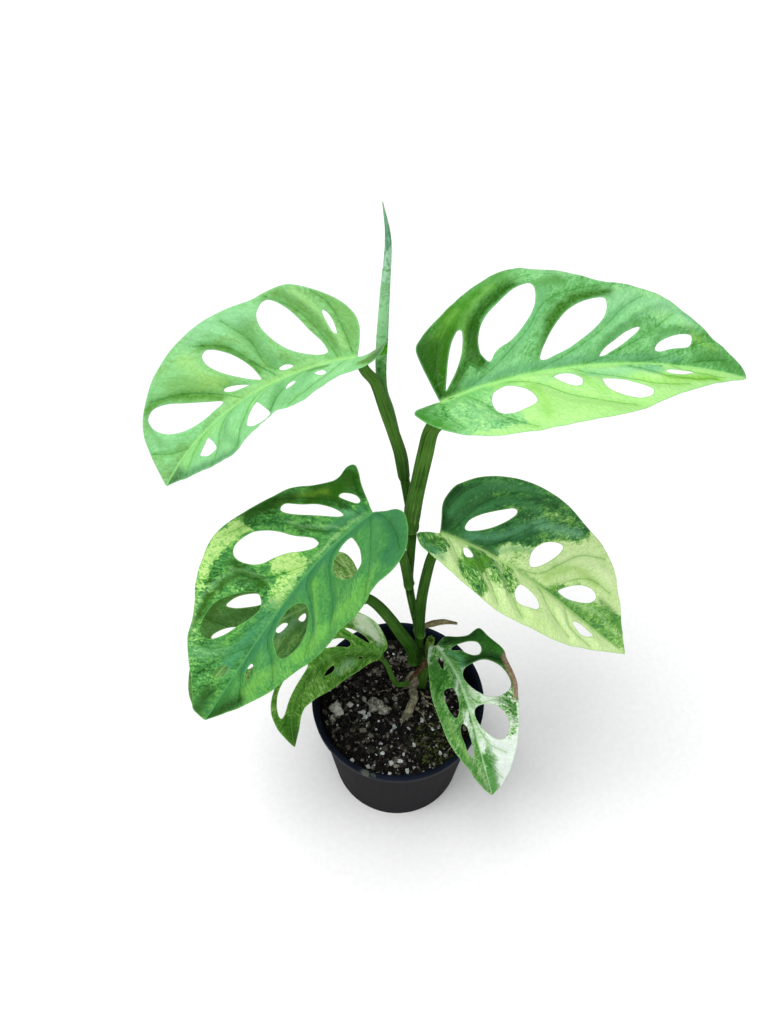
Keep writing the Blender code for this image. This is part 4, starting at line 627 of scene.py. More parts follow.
def colour(code):
    """An sRGB hex value as linear red, green, blue and alpha."""
    parts = [int(code[i:i + 2], 16) / 255 for i in (1, 3, 5)]
    return (*(p / 12.92 if p <= 0.04045 else ((p + 0.055) / 1.055) ** 2.4 for p in parts), 1.0)


def add_node(tree, kind, inputs=(), output=0, **settings):
    """Adds a node with its settings and inputs, which are values or sockets, and returns one output."""
    node = tree.nodes.new(kind)
    for name, value in settings.items():
        setattr(node, name, value)
    for socket, value in dict(inputs).items():
        if isinstance(value, bpy.types.NodeSocket):
            tree.links.new(value, node.inputs[socket])
        else:
            node.inputs[socket].default_value = value
    return node.outputs[output]


def set_stops(ramp_output, stops):
    """Gives a colour ramp its (place, hex colour) stops."""
    elements = ramp_output.node.color_ramp.elements
    while len(elements) < len(stops):
        elements.new(1.0)
    for element, (place, code) in zip(elements, stops):
        element.position = place
        element.color = colour(code)
    return ramp_output


def new_material(name, roughness, **constants):
    """A Principled material, what adds its nodes, and its shader, with constants on its own sockets."""
    material = bpy.data.materials.new(name)
    material.use_nodes = True
    tree = material.node_tree
    shader = tree.nodes["Principled BSDF"]
    shader.inputs["Roughness"].default_value = roughness
    for socket, value in constants.items():
        shader.inputs[socket.replace("_", " ")].default_value = value
    return material, partial(add_node, tree), shader


def feed(shader, **sources):
    """Links node outputs to the shader's sockets."""
    for socket, source in sources.items():
        shader.id_data.links.new(source, shader.inputs[socket.replace("_", " ")])


# Curves


def curve_point(before, start, end, after, t):
    """The point at share t between start and end of a Catmull-Rom curve."""
    return 0.5 * (2 * start + (end - before) * t + (2 * before - 5 * start + 4 * end - after) * t ** 2
                  + (3 * start - before - 3 * end + after) * t ** 3)


def smooth_path(points, spacing=1.0):
    """Points along a smooth curve through the given ones, about spacing apart."""
    given = np.array(points, float)
    padded = np.vstack([2 * given[0] - given[1], given, 2 * given[-1] - given[-2]])
    path = [given[0]]
    for before, start, end, after in zip(padded, padded[1:], padded[2:], padded[3:]):
        count = max(1, round(float(np.linalg.norm(end - start)) / spacing))
        path += [curve_point(before, start, end, after, step / count) for step in range(1, count + 1)]
    return np.array(path)


def path_lengths(path):
    """How far along a path each of its points lies."""
    steps = np.linalg.norm(np.diff(path, axis=0), axis=1)
    return np.concatenate([[0.0], np.cumsum(steps)])


def read_path(path, lengths, wanted):
    """The places at the wanted lengths along a path."""
    return np.stack([np.interp(wanted, lengths, column) for column in path.T], axis=1)


def evenly(path, spacing):
    """The same path with its points an even spacing apart."""
    lengths = path_lengths(path)
    wanted = np.linspace(0, lengths[-1], max(4, round(lengths[-1] / spacing)) + 1)
    return read_path(path, lengths, wanted)


def even_path(points, spacing):
    """A smooth curve through the given points, as points an even spacing apart."""
    return evenly(smooth_path(points), spacing)


def along_path(points, values, lengths):
    """Values given at the points of a path, read at lengths along it."""
    given = path_lengths(np.array(points, float))
    return np.interp(lengths / lengths[-1], given / given[-1], values)


def ramp_up(values, low, high):
    """0 below low, 1 above high and smooth between them."""
    t = np.clip((np.asarray(values, float) - low) / (high - low), 0, 1)
    return t * t * (3 - 2 * t)


def unit(vectors):
    return vectors / np.linalg.norm(vectors, axis=-1, keepdims=True)


def drift(points, size, seed):
    """Smooth noise of about the given grain size, from -1 to 1."""
    return np.array([noise.noise(Vector((x / size, y / size, seed))) for x, y in points])


def wander(points, waves, seed):
    """Points moved about by smooth noise, so that what is drawn from them has an uneven border."""
    moved = points.copy()
    for height, size, *seeds in waves:
        moved += height * np.stack([drift(points, size, seed + extra) for extra in seeds], axis=1)
    return moved


def distances(points, others):
    """Distance from each point to the nearest of the others."""
    tree = kdtree.KDTree(len(others))
    for index, (x, y) in enumerate(others):
        tree.insert((x, y, 0), index)
    tree.balance()
    return np.array([tree.find((x, y, 0))[2] for x, y in points])


def inside(points, loop):
    """Which points lie inside a closed loop."""
    x, y = points[:, 0][:, None], points[:, 1][:, None]
    x0, y0 = loop[:, 0], loop[:, 1]
    x1, y1 = np.roll(x0, -1), np.roll(y0, -1)
    spans = (y0 > y) != (y1 > y)
    rise = np.where(y1 == y0, 1e-9, y1 - y0)
    crossings = spans & (x < x0 + (x1 - x0) * (y - y0) / rise)
    return crossings.sum(axis=1) % 2 == 1


# Lofts and pieces


def claim(piece, replaced):
    """Seats a finished piece on the one body, in place of the solids it dresses."""
    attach(piece, "root")
    if replaced:
        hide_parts(*replaced)
    return piece


def add_piece(mesh, material, slot, *replaced):
    """Links a finished mesh as a piece of the same name."""
    piece = bpy.data.objects.new(mesh.name, mesh)
    mesh.materials.append(material)
    bpy.context.scene.collection.objects.link(piece)
    return claim(piece, replaced)


def set_attribute(mesh, name, values):
    """Stores a number, a vector or a colour for each point, by how many values it is given."""
    values = np.asarray(values, np.float32)
    kind, field = {1: ("FLOAT", "value"), 3: ("FLOAT_VECTOR", "vector"),
                   4: ("FLOAT_COLOR", "color")}[values.size // len(mesh.vertices)]
    mesh.attributes.new(name, kind, "POINT").data.foreach_set(field, values.ravel())


def set_ring_values(mesh, name, values):
    """Stores one value for each ring of a loft, and those of the end rings for its two ends."""
    sides = len(mesh.vertices) // len(values)
    set_attribute(mesh, name, np.concatenate([np.repeat(values, sides), (values[0], values[-1])]))


def close_skin(mesh):
    """Drops points that no face uses, turns all faces outward and shades them smooth."""
    shape = bmesh.new()
    shape.from_mesh(mesh)
    strays = [vertex for vertex in shape.verts if not vertex.link_faces]
    bmesh.ops.delete(shape, geom=strays, context="VERTS")
    bmesh.ops.recalc_face_normals(shape, faces=shape.faces)
    shape.to_mesh(mesh)
    shape.free()
    mesh.shade_smooth()


def circle(sides):
    return np.linspace(0, math.tau, sides, endpoint=False)


def frames(path, facing):
    """Across and outward directions along a path, carried without twist; outward starts near facing."""
    tangents = unit(np.gradient(path, axis=0))
    outward = np.array(facing, float)
    outwards = []
    for tangent in tangents:
        outward = unit(outward - tangent * np.dot(outward, tangent))
        outwards.append(outward)
    return np.cross(outwards, tangents), np.array(outwards)


def rings_round(path, across, outward, reach, angles):
    """Rings of points about a path; reach is how far each point of each ring lies from it."""
    return (path[:, None] + (reach * np.cos(angles))[..., None] * across[:, None]
            + (reach * np.sin(angles))[..., None] * outward[:, None])


def loft_mesh(name, rings, along):
    """A closed skin over rings of points, with its ends fanned to their middles.

    Its UV is (length along in mm / PLANE_UNIT, share of the way round).
    """
    count, sides = rings.shape[:2]
    middles = rings[[0, -1]].mean(axis=1)
    vertices = np.vstack([rings.reshape(-1, 3), middles]) * MM
    faces, corners = [], []
    for i in range(count - 1):
        for j in range(sides):
            k = (j + 1) % sides
            faces.append((i * sides + j, i * sides + k, (i + 1) * sides + k, (i + 1) * sides + j))
            low, high = j / sides, (j + 1) / sides
            corners += [(along[i], low), (along[i], high), (along[i + 1], high), (along[i + 1], low)]
    for row, middle in ((0, count * sides), (count - 1, count * sides + 1)):
        for j in range(sides):
            faces.append((row * sides + j, row * sides + (j + 1) % sides, middle))
            low, high = j / sides, (j + 1) / sides
            corners += [(along[row], low), (along[row], high), (along[row], low)]
    mesh = bpy.data.meshes.new(name)
    mesh.from_pydata(vertices.tolist(), [], faces)
    layer = mesh.uv_layers.new(name="skin")
    layer.data.foreach_set("uv", (np.array(corners) * (1 / PLANE_UNIT, 1.0)).ravel())
    close_skin(mesh)
    return mesh


def round_ends(path, radii):
    """Extends a path with a few shrinking rings, so that its end closes as a small dome."""
    tangent = unit(path[-1] - path[-2])
    steps = np.radians((30, 55, 75, 88))
    more_path = [path[-1] + tangent * radii[-1] * math.sin(a) * 0.8 for a in steps]
    more_radii = [radii[-1] * math.cos(a) for a in steps]
    return np.vstack([path, more_path]), np.concatenate([radii, more_radii])


def add_sheet(name, grid, material, slot, *replaced):
    """A thin sheet over rows of points."""
    rows, columns = grid.shape[:2]
    faces = []
    for row in range(rows - 1):
        for a in range(row * columns, (row + 1) * columns - 1):
            faces.append((a, a + columns, a + columns + 1, a + 1))
    mesh = bpy.data.meshes.new(name)
    mesh.from_pydata((grid.reshape(-1, 3) * MM).tolist(), [], faces)
    mesh.shade_smooth()
    piece = add_piece(mesh, material, slot, *replaced)
    piece.modifiers.new("thickness", "SOLIDIFY").thickness = SHEET_THICKNESS * MM
    apply_modifiers(piece)


# Blades


class BladeForm:
    """Maps places (u, v) on the flat leaf to their places on the folded, drooping blade."""

    def __init__(self, leaf):
        self.leaf = leaf
        self.along = np.linspace(0, leaf.length, SPINE_STEPS)
        part = self.along / leaf.length
        heading = np.radians(leaf.heading[0] + leaf.heading[1] * part + leaf.heading[2] * part ** 2)
        slope = np.radians(leaf.slope[0] + leaf.slope[1] * part + leaf.slope[2] * part ** 2)
        roll = np.radians(leaf.roll[0] + leaf.roll[1] * part)[:, None]
        self.tangent = np.stack([np.cos(slope) * np.cos(heading), np.cos(slope) * np.sin(heading),
                                 np.sin(slope)], axis=1)
        level = np.stack([-np.sin(heading), np.cos(heading), 0 * heading], axis=1)
        upright = np.cross(self.tangent, level)
        self.across = np.cos(roll) * level + np.sin(roll) * upright
        self.normal = np.cos(roll) * upright - np.sin(roll) * level
        step = leaf.length / (SPINE_STEPS - 1)
        moves = step * 0.5 * (self.tangent[1:] + self.tangent[:-1])
        self.spine = np.array(leaf.base, float) + np.vstack([np.zeros(3), np.cumsum(moves, axis=0)])

    def at(self, table, u):
        """A table of the spine, read at places along it."""
        return np.stack([np.interp(u, self.along, column) for column in table.T], axis=-1)

    def place(self, u, v):
        leaf = self.leaf
        u, v = np.asarray(u, float), np.asarray(v, float)
        left = v >= 0
        on_spine = np.clip(u, 0.0, leaf.length)
        centre = self.at(self.spine, on_spine) + self.at(self.tangent, on_spine) * (u - on_spine)[..., None]
        start = np.radians(np.where(left, leaf.left_fold[0], leaf.right_fold[0]))
        rate = np.radians(np.where(left, leaf.left_fold[1], leaf.right_fold[1])) / FOLD_WIDTH
        rate = np.where(rate == 0, 1e-6, rate)
        reach = np.abs(v)
        outward = (np.sin(start + rate * reach) - np.sin(start)) / rate
        upward = (np.cos(start) - np.cos(start + rate * reach)) / rate
        side = np.where(left, 1.0, -1.0)
        ripple = np.sin(math.tau * u / WAVE_LENGTH + side) * (reach / FOLD_WIDTH) ** 2
        upward = upward + leaf.wave * ripple + leaf.curl * (np.minimum(u, 0.0) / CURL_LENGTH) ** 2
        return (centre + (side * outward)[..., None] * self.at(self.across, on_spine)
                + upward[..., None] * self.at(self.normal, on_spine))

    def upward_normal(self, u, v):
        """Normal of the blade's upper face, from places a little to either side."""
        reach = 0.4
        toward_tip = self.place(u + reach, v) - self.place(u - reach, v)
        side = np.where(v >= 0, 1.0, -1.0)
        to_left = (self.place(u, v + side * 2 * reach) - self.place(u, v)) * side[..., None]
        return unit(np.cross(toward_tip, to_left))


def blade_outline(leaf):
    left, right = (even_path([(0, 0), *side, (leaf.length, 0)], BLADE_SPACING)
                   for side in (leaf.left_edge, leaf.right_edge))
    return np.vstack([left, right[-2:0:-1]])


def window_outline(window):
    """A closed smooth loop through a window's points."""
    given = np.array(window, float)
    ring = np.vstack([given[-1:], given, given[:2]])
    loop = []
    for corners in zip(ring, ring[1:], ring[2:], ring[3:]):
        loop += [curve_point(*corners, step / WINDOW_STEPS) for step in range(WINDOW_STEPS)]
    return evenly(np.vstack([loop, loop[:1]]), BLADE_SPACING * 0.9)[:-1]


def vein_curves(leaf, spacing):
    """The lateral veins as smooth curves from the midrib towards the margin."""
    return [even_path(points, spacing)[1:] for points in leaf.veins]


def paint(leaf, flat, seed):
    """Tone of the leaf tissue at places of the flat blade, and how strongly it is mottled."""
    moved_u, moved_v = wander(flat, PATCH_WANDER, seed).T
    left = flat[:, 1] >= 0
    tone = np.where(left, leaf.left_paint[0], leaf.right_paint[0])
    mottle = np.where(left, leaf.left_paint[1], leaf.right_paint[1])
    for patch in leaf.patches:
        turn = math.radians(patch.turn)
        du, dv = moved_u - patch.u, moved_v - patch.v
        along = (du * math.cos(turn) + dv * math.sin(turn)) / patch.along
        across = (dv * math.cos(turn) - du * math.sin(turn)) / patch.across
        inward = (1 - np.hypot(along, across)) * min(patch.along, patch.across)
        cover = ramp_up(inward, -0.9, 0.9) * (left == (patch.v >= 0))
        tone = tone + (patch.tone - tone) * cover
        mottle = mottle + (patch.mottle - mottle) * cover
    return tone, mottle


def wash_over(leaf, flat, seed):
    """Washes laid over one another, the dark ones painted shade and the pale ones partly painted light:
    their mixed colour with how much they cover, and how deep they lie.
    """
    moved = wander(flat, WASH_WANDER, seed)
    mixed, cover, depth = np.zeros((len(flat), 3)), np.zeros(len(flat)), np.zeros(len(flat))
    for wash in leaf.washes:
        near = np.exp(-(distances(moved, even_path(wash.points, 0.6)) / wash.reach) ** 2)
        near = near * ((flat[:, 1] >= 0) == (wash.points[0][1] >= 0))
        amount = (wash.strength * near)[:, None]
        mixed = mixed * (1 - amount) + amount * np.array(colour(wash.code)[:3])
        cover = cover + amount[:, 0] * (1 - cover)
        depth = depth + wash.sink * near
    return np.column_stack([mixed / np.maximum(cover, 1e-4)[:, None], cover]), depth


def blade_points(leaf, loops):
    """Places inside the blade: the midrib and its flanks, the veins, and a staggered grid."""
    midrib_u = np.arange(BLADE_SPACING, leaf.length - 0.5, BLADE_SPACING)
    rows = [np.stack([midrib_u, np.full_like(midrib_u, v)], axis=1) for v in MIDRIB_ROWS]
    veins = vein_curves(leaf, BLADE_SPACING)
    lines = np.vstack(rows + [curve[np.abs(curve[:, 1]) > VEIN_CLEARANCE] for curve in veins])
    # rows of equal-sided triangles lie 0.87 of their spacing apart
    grid = []
    for index, v in enumerate(np.arange(-BLADE_REACH, BLADE_REACH, BLADE_SPACING * 0.87)):
        if abs(v) > 1.4:
            u = np.arange(-LOBE_REACH, leaf.length, BLADE_SPACING) + 0.5 * BLADE_SPACING * (index % 2)
            grid.append(np.stack([u, np.full_like(u, v)], axis=1))
    grid = np.vstack(grid)
    grid = grid[distances(grid, lines) > 0.5 * BLADE_SPACING]
    points = np.vstack([lines, grid])
    points = points[in_tissue(points, loops)]
    points = points[distances(points, np.vstack(loops)) > EDGE_CLEARANCE]
    kept = {}
    for u, v in points:
        kept.setdefault((round(u, 1), round(v, 1)), (u, v))
    return np.array(list(kept.values()))


def in_tissue(points, loops):
    """Which points lie inside the blade's outline and outside its windows."""
    keep = inside(points, loops[0])
    for hole in loops[1:]:
        keep &= ~inside(points, hole)
    return keep


def flat_blade(leaf):
    """Triangles over the flat blade, with its outline and windows as closed loops of points."""
    loops = [blade_outline(leaf)] + [window_outline(window) for window in leaf.windows]
    points, edges, borders = [], [], []
    for loop in loops:
        ids = np.arange(len(points), len(points) + len(loop))
        borders.append(ids)
        edges += zip(ids.tolist(), np.roll(ids, -1).tolist())
        points += [Vector(p) for p in loop]
    points += [Vector(p) for p in blade_points(leaf, loops)]
    flat, _, faces, _, _, _ = delaunay_2d_cdt(points, edges, [], 1, 1e-4)
    flat = np.array([(p.x, p.y) for p in flat])
    faces = np.array([tuple(face) for face in faces if len(face) == 3])
    return flat, faces[in_tissue(flat[faces].mean(axis=1), loops)], borders, loops


def rib_share(leaf, flat, narrowing, rise):
    """1 on the midrib, 0 beside it; the rib thins out towards the tip."""
    u, v = flat.T
    width = MIDRIB_HALF_WIDTH * (1 - 0.75 * np.clip(u / leaf.length, 0, 1)) * narrowing
    return np.exp(-(v / width) ** 2) * ramp_up(u, -3, rise)


def blade_relief(leaf, flat, edge, margin, vein, sunk, seed):
    """Heights of the upper and the lower face over the blade's form."""
    rib = rib_share(leaf, flat, 1.0, 2)
    lateral = np.exp(-(vein / VEIN_HALF_WIDTH) ** 2) * ramp_up(edge, 0, 2)
    quilt = ramp_up(np.minimum(vein, np.abs(flat[:, 1]) * 0.8), 0, 7.5)
    quilt = quilt * (0.35 + 0.65 * ramp_up(margin, 0, 7))
    pucker = drift(flat, 5.0, seed + 20) * 0.3 + drift(flat, 2.2, seed + 21) * 0.12
    lip = LIP_HEIGHT * np.exp(-edge / 0.6)
    at_window = np.exp(-edge / 2.4) * (margin > edge + 0.01)
    relief = QUILT_HEIGHT * quilt - WINDOW_DROP * at_window + pucker - sunk * ramp_up(edge, 0, 2.5)
    thinning = 1 - 0.8 * np.clip(flat[:, 0] / leaf.length, 0, 1)
    upper = relief - MIDRIB_GROOVE * rib - VEIN_GROOVE * lateral - lip
    lower = relief - BLADE_THICKNESS - MIDRIB_HEIGHT * thinning * rib - VEIN_HEIGHT * lateral + 0.75 * lip
    return upper, lower


def nearest_inner(faces, ids):
    """For each border point, a point that shares a triangle with it and isn't on its own border."""
    wanted = set(ids.tolist())
    found = {}
    for face in faces.tolist():
        others = [corner for corner in face if corner not in wanted]
        for corner in wanted.intersection(face):
            if others:
                found.setdefault(corner, others[0])
    return [found.get(i, i) for i in ids.tolist()]


def margin_bulge(ids, faces, place, normal):
    """How far out the margin bulges at the points of one border."""
    run = unit(place[np.roll(ids, -1)] - place[np.roll(ids, 1)])
    outward = np.cross(run, normal[ids])
    from_inner = np.sum(outward * (place[ids] - place[nearest_inner(faces, ids)]), axis=1)
    return outward * np.sign(np.median(from_inner)) * MARGIN_BULGE


def to_vein_plane(along, away):
    """What runs along the midrib and away from it, turned to run along and across the small veins."""
    lean = math.radians(VEIN_LEAN)
    return np.stack([math.cos(lean) * along + math.sin(lean) * away,
                     math.cos(lean) * away - math.sin(lean) * along], axis=1)


def scorch(leaf, flat, margin, seed):
    """The dried brown margin of the low right leaf."""
    u, v = flat.T
    if leaf.name != "low_right":
        return np.zeros(len(u))
    stray = 1.2 * drift(flat, 4.0, seed + 30)
    return (ramp_up(u + stray, 20.5, 24) * (1 - ramp_up(u + stray, 39, 45))
            * (1 - ramp_up(margin + 0.5 * stray, 1.8, 3.0)) * (v > 15))


def blade_values(leaf, flat, edge, margin, vein, seed):
    """What the leaf's tissue is painted from, by attribute name."""
    u, v = flat.T
    tone, mottle = paint(leaf, flat, seed)
    side = np.where(v >= 0, 1.0, -1.0)
    slope_u = (paint(leaf, np.stack([u + TONE_STEP, v], axis=1), seed)[0] - tone) / TONE_STEP
    slope_v = (paint(leaf, np.stack([u, v + TONE_STEP * side], axis=1), seed)[0] - tone) / TONE_STEP
    slope = np.column_stack([to_vein_plane(slope_u, slope_v), np.zeros(len(u))])
    return {"tone": tone, "mottle": mottle, "vein": vein, "rib": rib_share(leaf, flat, 0.55, 1),
            "margin": edge, "scorch": scorch(leaf, flat, margin, seed), "slope": slope}


def blade_mesh(name, faces, borders, top, bottom, bulges):
    """Upper face, lower face and a rounded margin between them."""
    count = len(top)
    vertices = [top, bottom]
    all_faces = faces.tolist() + (faces[:, ::-1] + count).tolist()
    first = 2 * count
    for ids, bulge in zip(borders, bulges):
        vertices.append((top[ids] + bottom[ids]) / 2 + bulge)
        middle = np.arange(first, first + len(ids))
        for high, low in ((ids, middle), (middle, ids + count)):
            all_faces += np.stack([high, low, np.roll(low, -1), np.roll(high, -1)], axis=1).tolist()
        first += len(ids)
    mesh = bpy.data.meshes.new(name)
    mesh.from_pydata((np.vstack(vertices) * MM).tolist(), [], all_faces)
    return mesh


def build_blade(leaf, seed, material, slot):
    """A folded, drooping blade with its veins in relief and the values its tissue is painted from."""
    form = BladeForm(leaf)
    flat, faces, borders, loops = flat_blade(leaf)
    count = len(flat)
    edge = distances(flat, np.vstack(loops))
    margin = distances(flat, loops[0])
    vein = distances(flat, np.vstack([evenly(curve, 0.3) for curve in vein_curves(leaf, 0.5)]))
    wash, sunk = wash_over(leaf, flat, seed)
    upper, lower = blade_relief(leaf, flat, edge, margin, vein, sunk, seed)
    place, normal = form.place(*flat.T), form.upward_normal(*flat.T)
    bulges = [margin_bulge(ids, faces, place, normal) for ids in borders]
    mesh = blade_mesh("leaf_blade_" + leaf.name, faces, borders, place + normal * upper[:, None],
                      place + normal * lower[:, None], bulges)
    # each point of the blade takes its values from its place on the flat leaf
    source = np.concatenate([np.arange(count), np.arange(count), *borders])
    for name, values in blade_values(leaf, flat, edge, margin, vein, seed).items():
        set_attribute(mesh, name, values[source])
    set_attribute(mesh, "wash", wash[source])
    set_attribute(mesh, "underside", np.arange(len(source)) // count == 1)
    corner = np.zeros(len(mesh.loops), np.int32)
    mesh.loops.foreach_get("vertex_index", corner)
    plane = to_vein_plane(flat[:, 0], np.abs(flat[:, 1])) / PLANE_UNIT
    layer = mesh.uv_layers.new(name="vein_plane")
    layer.data.foreach_set("uv", plane[source][corner].astype(np.float32).ravel())
    close_skin(mesh)
    add_piece(mesh, material, slot, "blade_" + leaf.name)


# Stalks and stem


def petiole_points(leaf, form):
    """From the foot up to the blade, then bending into the ridge under its midrib."""
    start = np.array(leaf.base, float)
    tail = [start - depth * form.normal[0] for depth in (8.5, 3.6)]
    for u, depth in ((1.8, 2.1), (5.5, 1.6), (11.0, 1.1)):
        tail.append(form.place(u, 0.0) - depth * form.at(form.normal, u))
    return [*leaf.petiole.points, *tail]


def stalk_rings(path, radii, facing, ribs, sheath=0.0, channel=0.12, seed=0):
    """Rings of a ribbed stalk with a channel along its outward side and sheath wings near its foot."""
    across, outward = frames(path, facing)
    angles = circle(STALK_SIDES)
    length = path_lengths(path)
    share = (length / length[-1])[:, None]
    # the channel lies at a quarter turn, where the outward direction points
    from_channel = np.abs(np.arctan2(np.sin(angles - math.pi / 2), np.cos(angles - math.pi / 2)))
    hollow = channel * np.exp(-(from_channel / 0.4) ** 2)
    wings = sheath * np.exp(-((from_channel - 0.62) / 0.2) ** 2) * (1 - ramp_up(share, 0.2, 0.55))
    swell = np.array([[noise.noise(Vector((s * 0.04, seed, 0.5))) * 0.05] for s in length])
    reach = radii[:, None] * (1 + 0.03 * np.cos(ribs * angles) - hollow + wings + swell)
    return rings_round(path, across, outward, reach, angles), length


def build_petiole(leaf, seed, material):
    """A stalk that thins from its foot to its top and runs out under the midrib."""
    path = even_path(petiole_points(leaf, BladeForm(leaf)), 1.0)
    length = path_lengths(path)
    total = length[-1]
    foot, top = leaf.petiole.foot_radius, leaf.petiole.top_radius
    places = (0, 0.12 * total, total - STALK_TAIL, total - 12, total - 9.5, total - 5.5, total)
    radii = np.interp(length, places, (foot * 0.92, foot, top, min(top, 2.0), 1.45, 0.95, 0.4))
    rings, along = stalk_rings(path, radii, (0, -1, 0.3), 9 + seed % 4, sheath=0.2, seed=seed)
    mesh = loft_mesh("leaf_stalk_" + leaf.name, rings, along)
    darkening = leaf.petiole.shade + 0.6 * (1 - ramp_up(along, 4, 0.45 * total))
    set_ring_values(mesh, "darkening", np.clip(darkening, 0, 1))
    add_piece(mesh, material, "petiole_green", "petiole_" + leaf.name)


def collar_ring(place, size, leaf, stem):
    """An egg-shaped ring round a place of the stalk and the stem beside it."""
    axis = np.array([np.interp(place[2], stem[:, 2], stem[:, k]) for k in (0, 1)])
    gap = np.linalg.norm(axis - place[:2])
    to_stem = (axis - place[:2]) / gap
    aside = np.array((-to_stem[1], to_stem[0]))
    narrow = STEM_RADIUS * 1.12 * size
    wide = leaf.petiole.foot_radius * size
    middle = place[:2] + to_stem * (gap + narrow - wide) / 2
    angles = circle(COLLAR_SIDES)
    taper = 0.93 * (1 - 0.22 * np.cos(angles))
    ring = (middle + np.outer((gap + narrow + wide) / 2 * np.cos(angles), to_stem)
            + np.outer(wide * taper * np.sin(angles), aside))
    return np.column_stack([ring, np.full(COLLAR_SIDES, place[2])])


def build_collars(material):
    """Where a leaf stalk clasps the stem: a short sleeve round both, with a thin ring at its foot."""
    stem = np.array(STEM_PATH, float)
    for leaf in CLASPING_LEAVES:
        path = even_path(leaf.petiole.points, 0.5)[:COLLAR_STEPS]
        sizes = np.interp(np.arange(COLLAR_STEPS), *COLLAR_PROFILE)
        rings = np.array([collar_ring(place, size, leaf, stem) for place, size in zip(path, sizes)])
        along = path_lengths(path)
        mesh = loft_mesh("stalk_sheath_" + leaf.name, rings, along)
        darkening = np.interp(along, (0, 1.5, 6), (0.3, 0.5, min(leaf.petiole.shade + 0.6, 1.0)))
        set_ring_values(mesh, "darkening", darkening)
        add_piece(mesh, material, "petiole_green")


def near_rings(path, offset, spread):
    """1 at a height over each of the stem's rings, fading to 0 along the stem."""
    return np.exp(-((path[:, 2:] - STEM_RING_HEIGHTS - offset) / spread) ** 2).max(axis=1)


def build_stem(material):
    """A zigzag stem, thickened at the rings that fallen leaves left and pinched over them."""
    path = even_path(STEM_PATH, 0.7)
    length = path_lengths(path)
    scar = near_rings(path, 0.0, STEM_RING_SPREAD)
    radii = STEM_RADIUS + STEM_RING_GROWTH * scar - STEM_PINCH * near_rings(path, 2.6, 1.0)
    radii = np.minimum(radii, np.interp(length[-1] - length, (0, 3), (1.4, 9.0)))
    rings, along = stalk_rings(path, radii, (0, -1, 0), 8, channel=0.05, seed=40)
    mesh = loft_mesh("stem", rings, along)
    set_ring_values(mesh, "scar", scar)
    set_ring_values(mesh, "darkening", 0.9 * near_rings(path, -4.0, 4.5))
    add_piece(mesh, material, "stem_green", "main_stem")


def build_furled_leaf(material):
    """A rolled blade: a spiral section whose free edge winds slowly round the roll."""
    path = even_path(SPIKE_POINTS, 0.8)
    path, radii = round_ends(path, along_path(SPIKE_POINTS, SPIKE_RADII, path_lengths(path)))
    length = path_lengths(path)
    angles = circle(48)
    turn = math.radians(60) + length * math.radians(1.9)
    wound = np.mod(angles - turn[:, None], math.tau) / math.tau
    step = 0.14 * (wound - 0.5) + 0.05 * np.exp(-((1 - wound) / 0.05) ** 2)
    rings = rings_round(path, *frames(path, (0, -1, 0)), radii[:, None] * (1 + step), angles)
    mesh = loft_mesh("rolled_new_leaf", rings, length)
    seam = np.exp(-(np.minimum(wound, 1 - wound) / 0.035) ** 2)
    set_attribute(mesh, "seam", np.concatenate([seam.ravel(), (0.0, 0.0)]))
    add_piece(mesh, material, "furled_leaf", "furled_leaf")


def build_stub(material):
    """A cut leaf base: a ribbed tube with a hollow, frayed top."""
    path = even_path(STUB_POINTS, 0.7)
    length = path_lengths(path)
    radii = np.interp(length / length[-1], (0, 0.5, 1), STUB_RADII)
    across, outward = (np.vstack([rows, np.repeat(rows[-1:], len(STUB_CUT), axis=0)])
                       for rows in frames(path, (0, -1, 0)))
    tangent = unit(path[-1] - path[-2])
    rise, share, further = np.array(STUB_CUT).T
    path = np.vstack([path, path[-1] + np.outer(rise, tangent)])
    radii = np.concatenate([radii, radii[-1] * share])
    angles = circle(40)
    reach = radii[:, None] * (1 + 0.05 * np.cos(7 * angles))
    rings = rings_round(path, across, outward, reach, angles)
    rings[-4:-2] += np.outer(0.5 * np.sin(3 * angles + 0.6) + 0.25 * np.sin(7 * angles), tangent)
    mesh = loft_mesh("cut_leaf_base", rings, np.concatenate([length, length[-1] + further]))
    add_piece(mesh, material, "leaf_stub", "leaf_stub")


def build_sheath(material):
    """A dry papery sheath: a thin strip, curled along its length and frayed at its end."""
    path = even_path(SHEATH_PATH, 0.5)
    widths = along_path(SHEATH_PATH, SHEATH_WIDTHS, path_lengths(path))
    grid = []
    for row, (place, width) in enumerate(zip(path, widths)):
        share = row / (len(path) - 1)
        curl = 1.4 + 0.9 * share
        for part in np.linspace(-0.5, 0.5, SHEATH_COLUMNS):
            angle = part * curl * 2
            wrinkle = 0.18 * noise.noise(Vector((row * 0.12, part * 9, 2.0)))
            fray = 0.9 * noise.noise(Vector((part * 12, 4.0, 1.0))) if share > 0.97 else 0.0
            grid.append(place + (fray, width * math.sin(angle) / curl * 0.9,
                                 width * (1 - math.cos(angle)) / curl * 0.4 + wrinkle))
    grid = np.reshape(grid, (len(path), SHEATH_COLUMNS, 3))
    add_sheet("papery_sheath", grid, material, "dry_sheath", "dry_sheath")


def build_turned_lobe(material):
    """The lobe at the foot of the upper left blade, turned down behind it: it shows its underside."""
    shares = np.linspace(0, 1, LOBE_ROWS)
    edges = []
    for points in (LOBE_FOOT, LOBE_TOP):
        path = smooth_path(points, 0.3)
        length = path_lengths(path)
        edges.append(read_path(path, length, shares * length[-1]))
    foot, top = edges
    parts = np.linspace(0, 1, LOBE_COLUMNS)
    grid = foot[:, None] * (1 - parts[:, None]) + top[:, None] * parts[:, None]
    grid[..., 1] -= 0.6 * np.outer(np.sin(0.5 * math.pi * shares), np.sin(math.pi * parts))
    add_sheet("turned_lobe", grid, material, "blade_upper_left")


# Roots


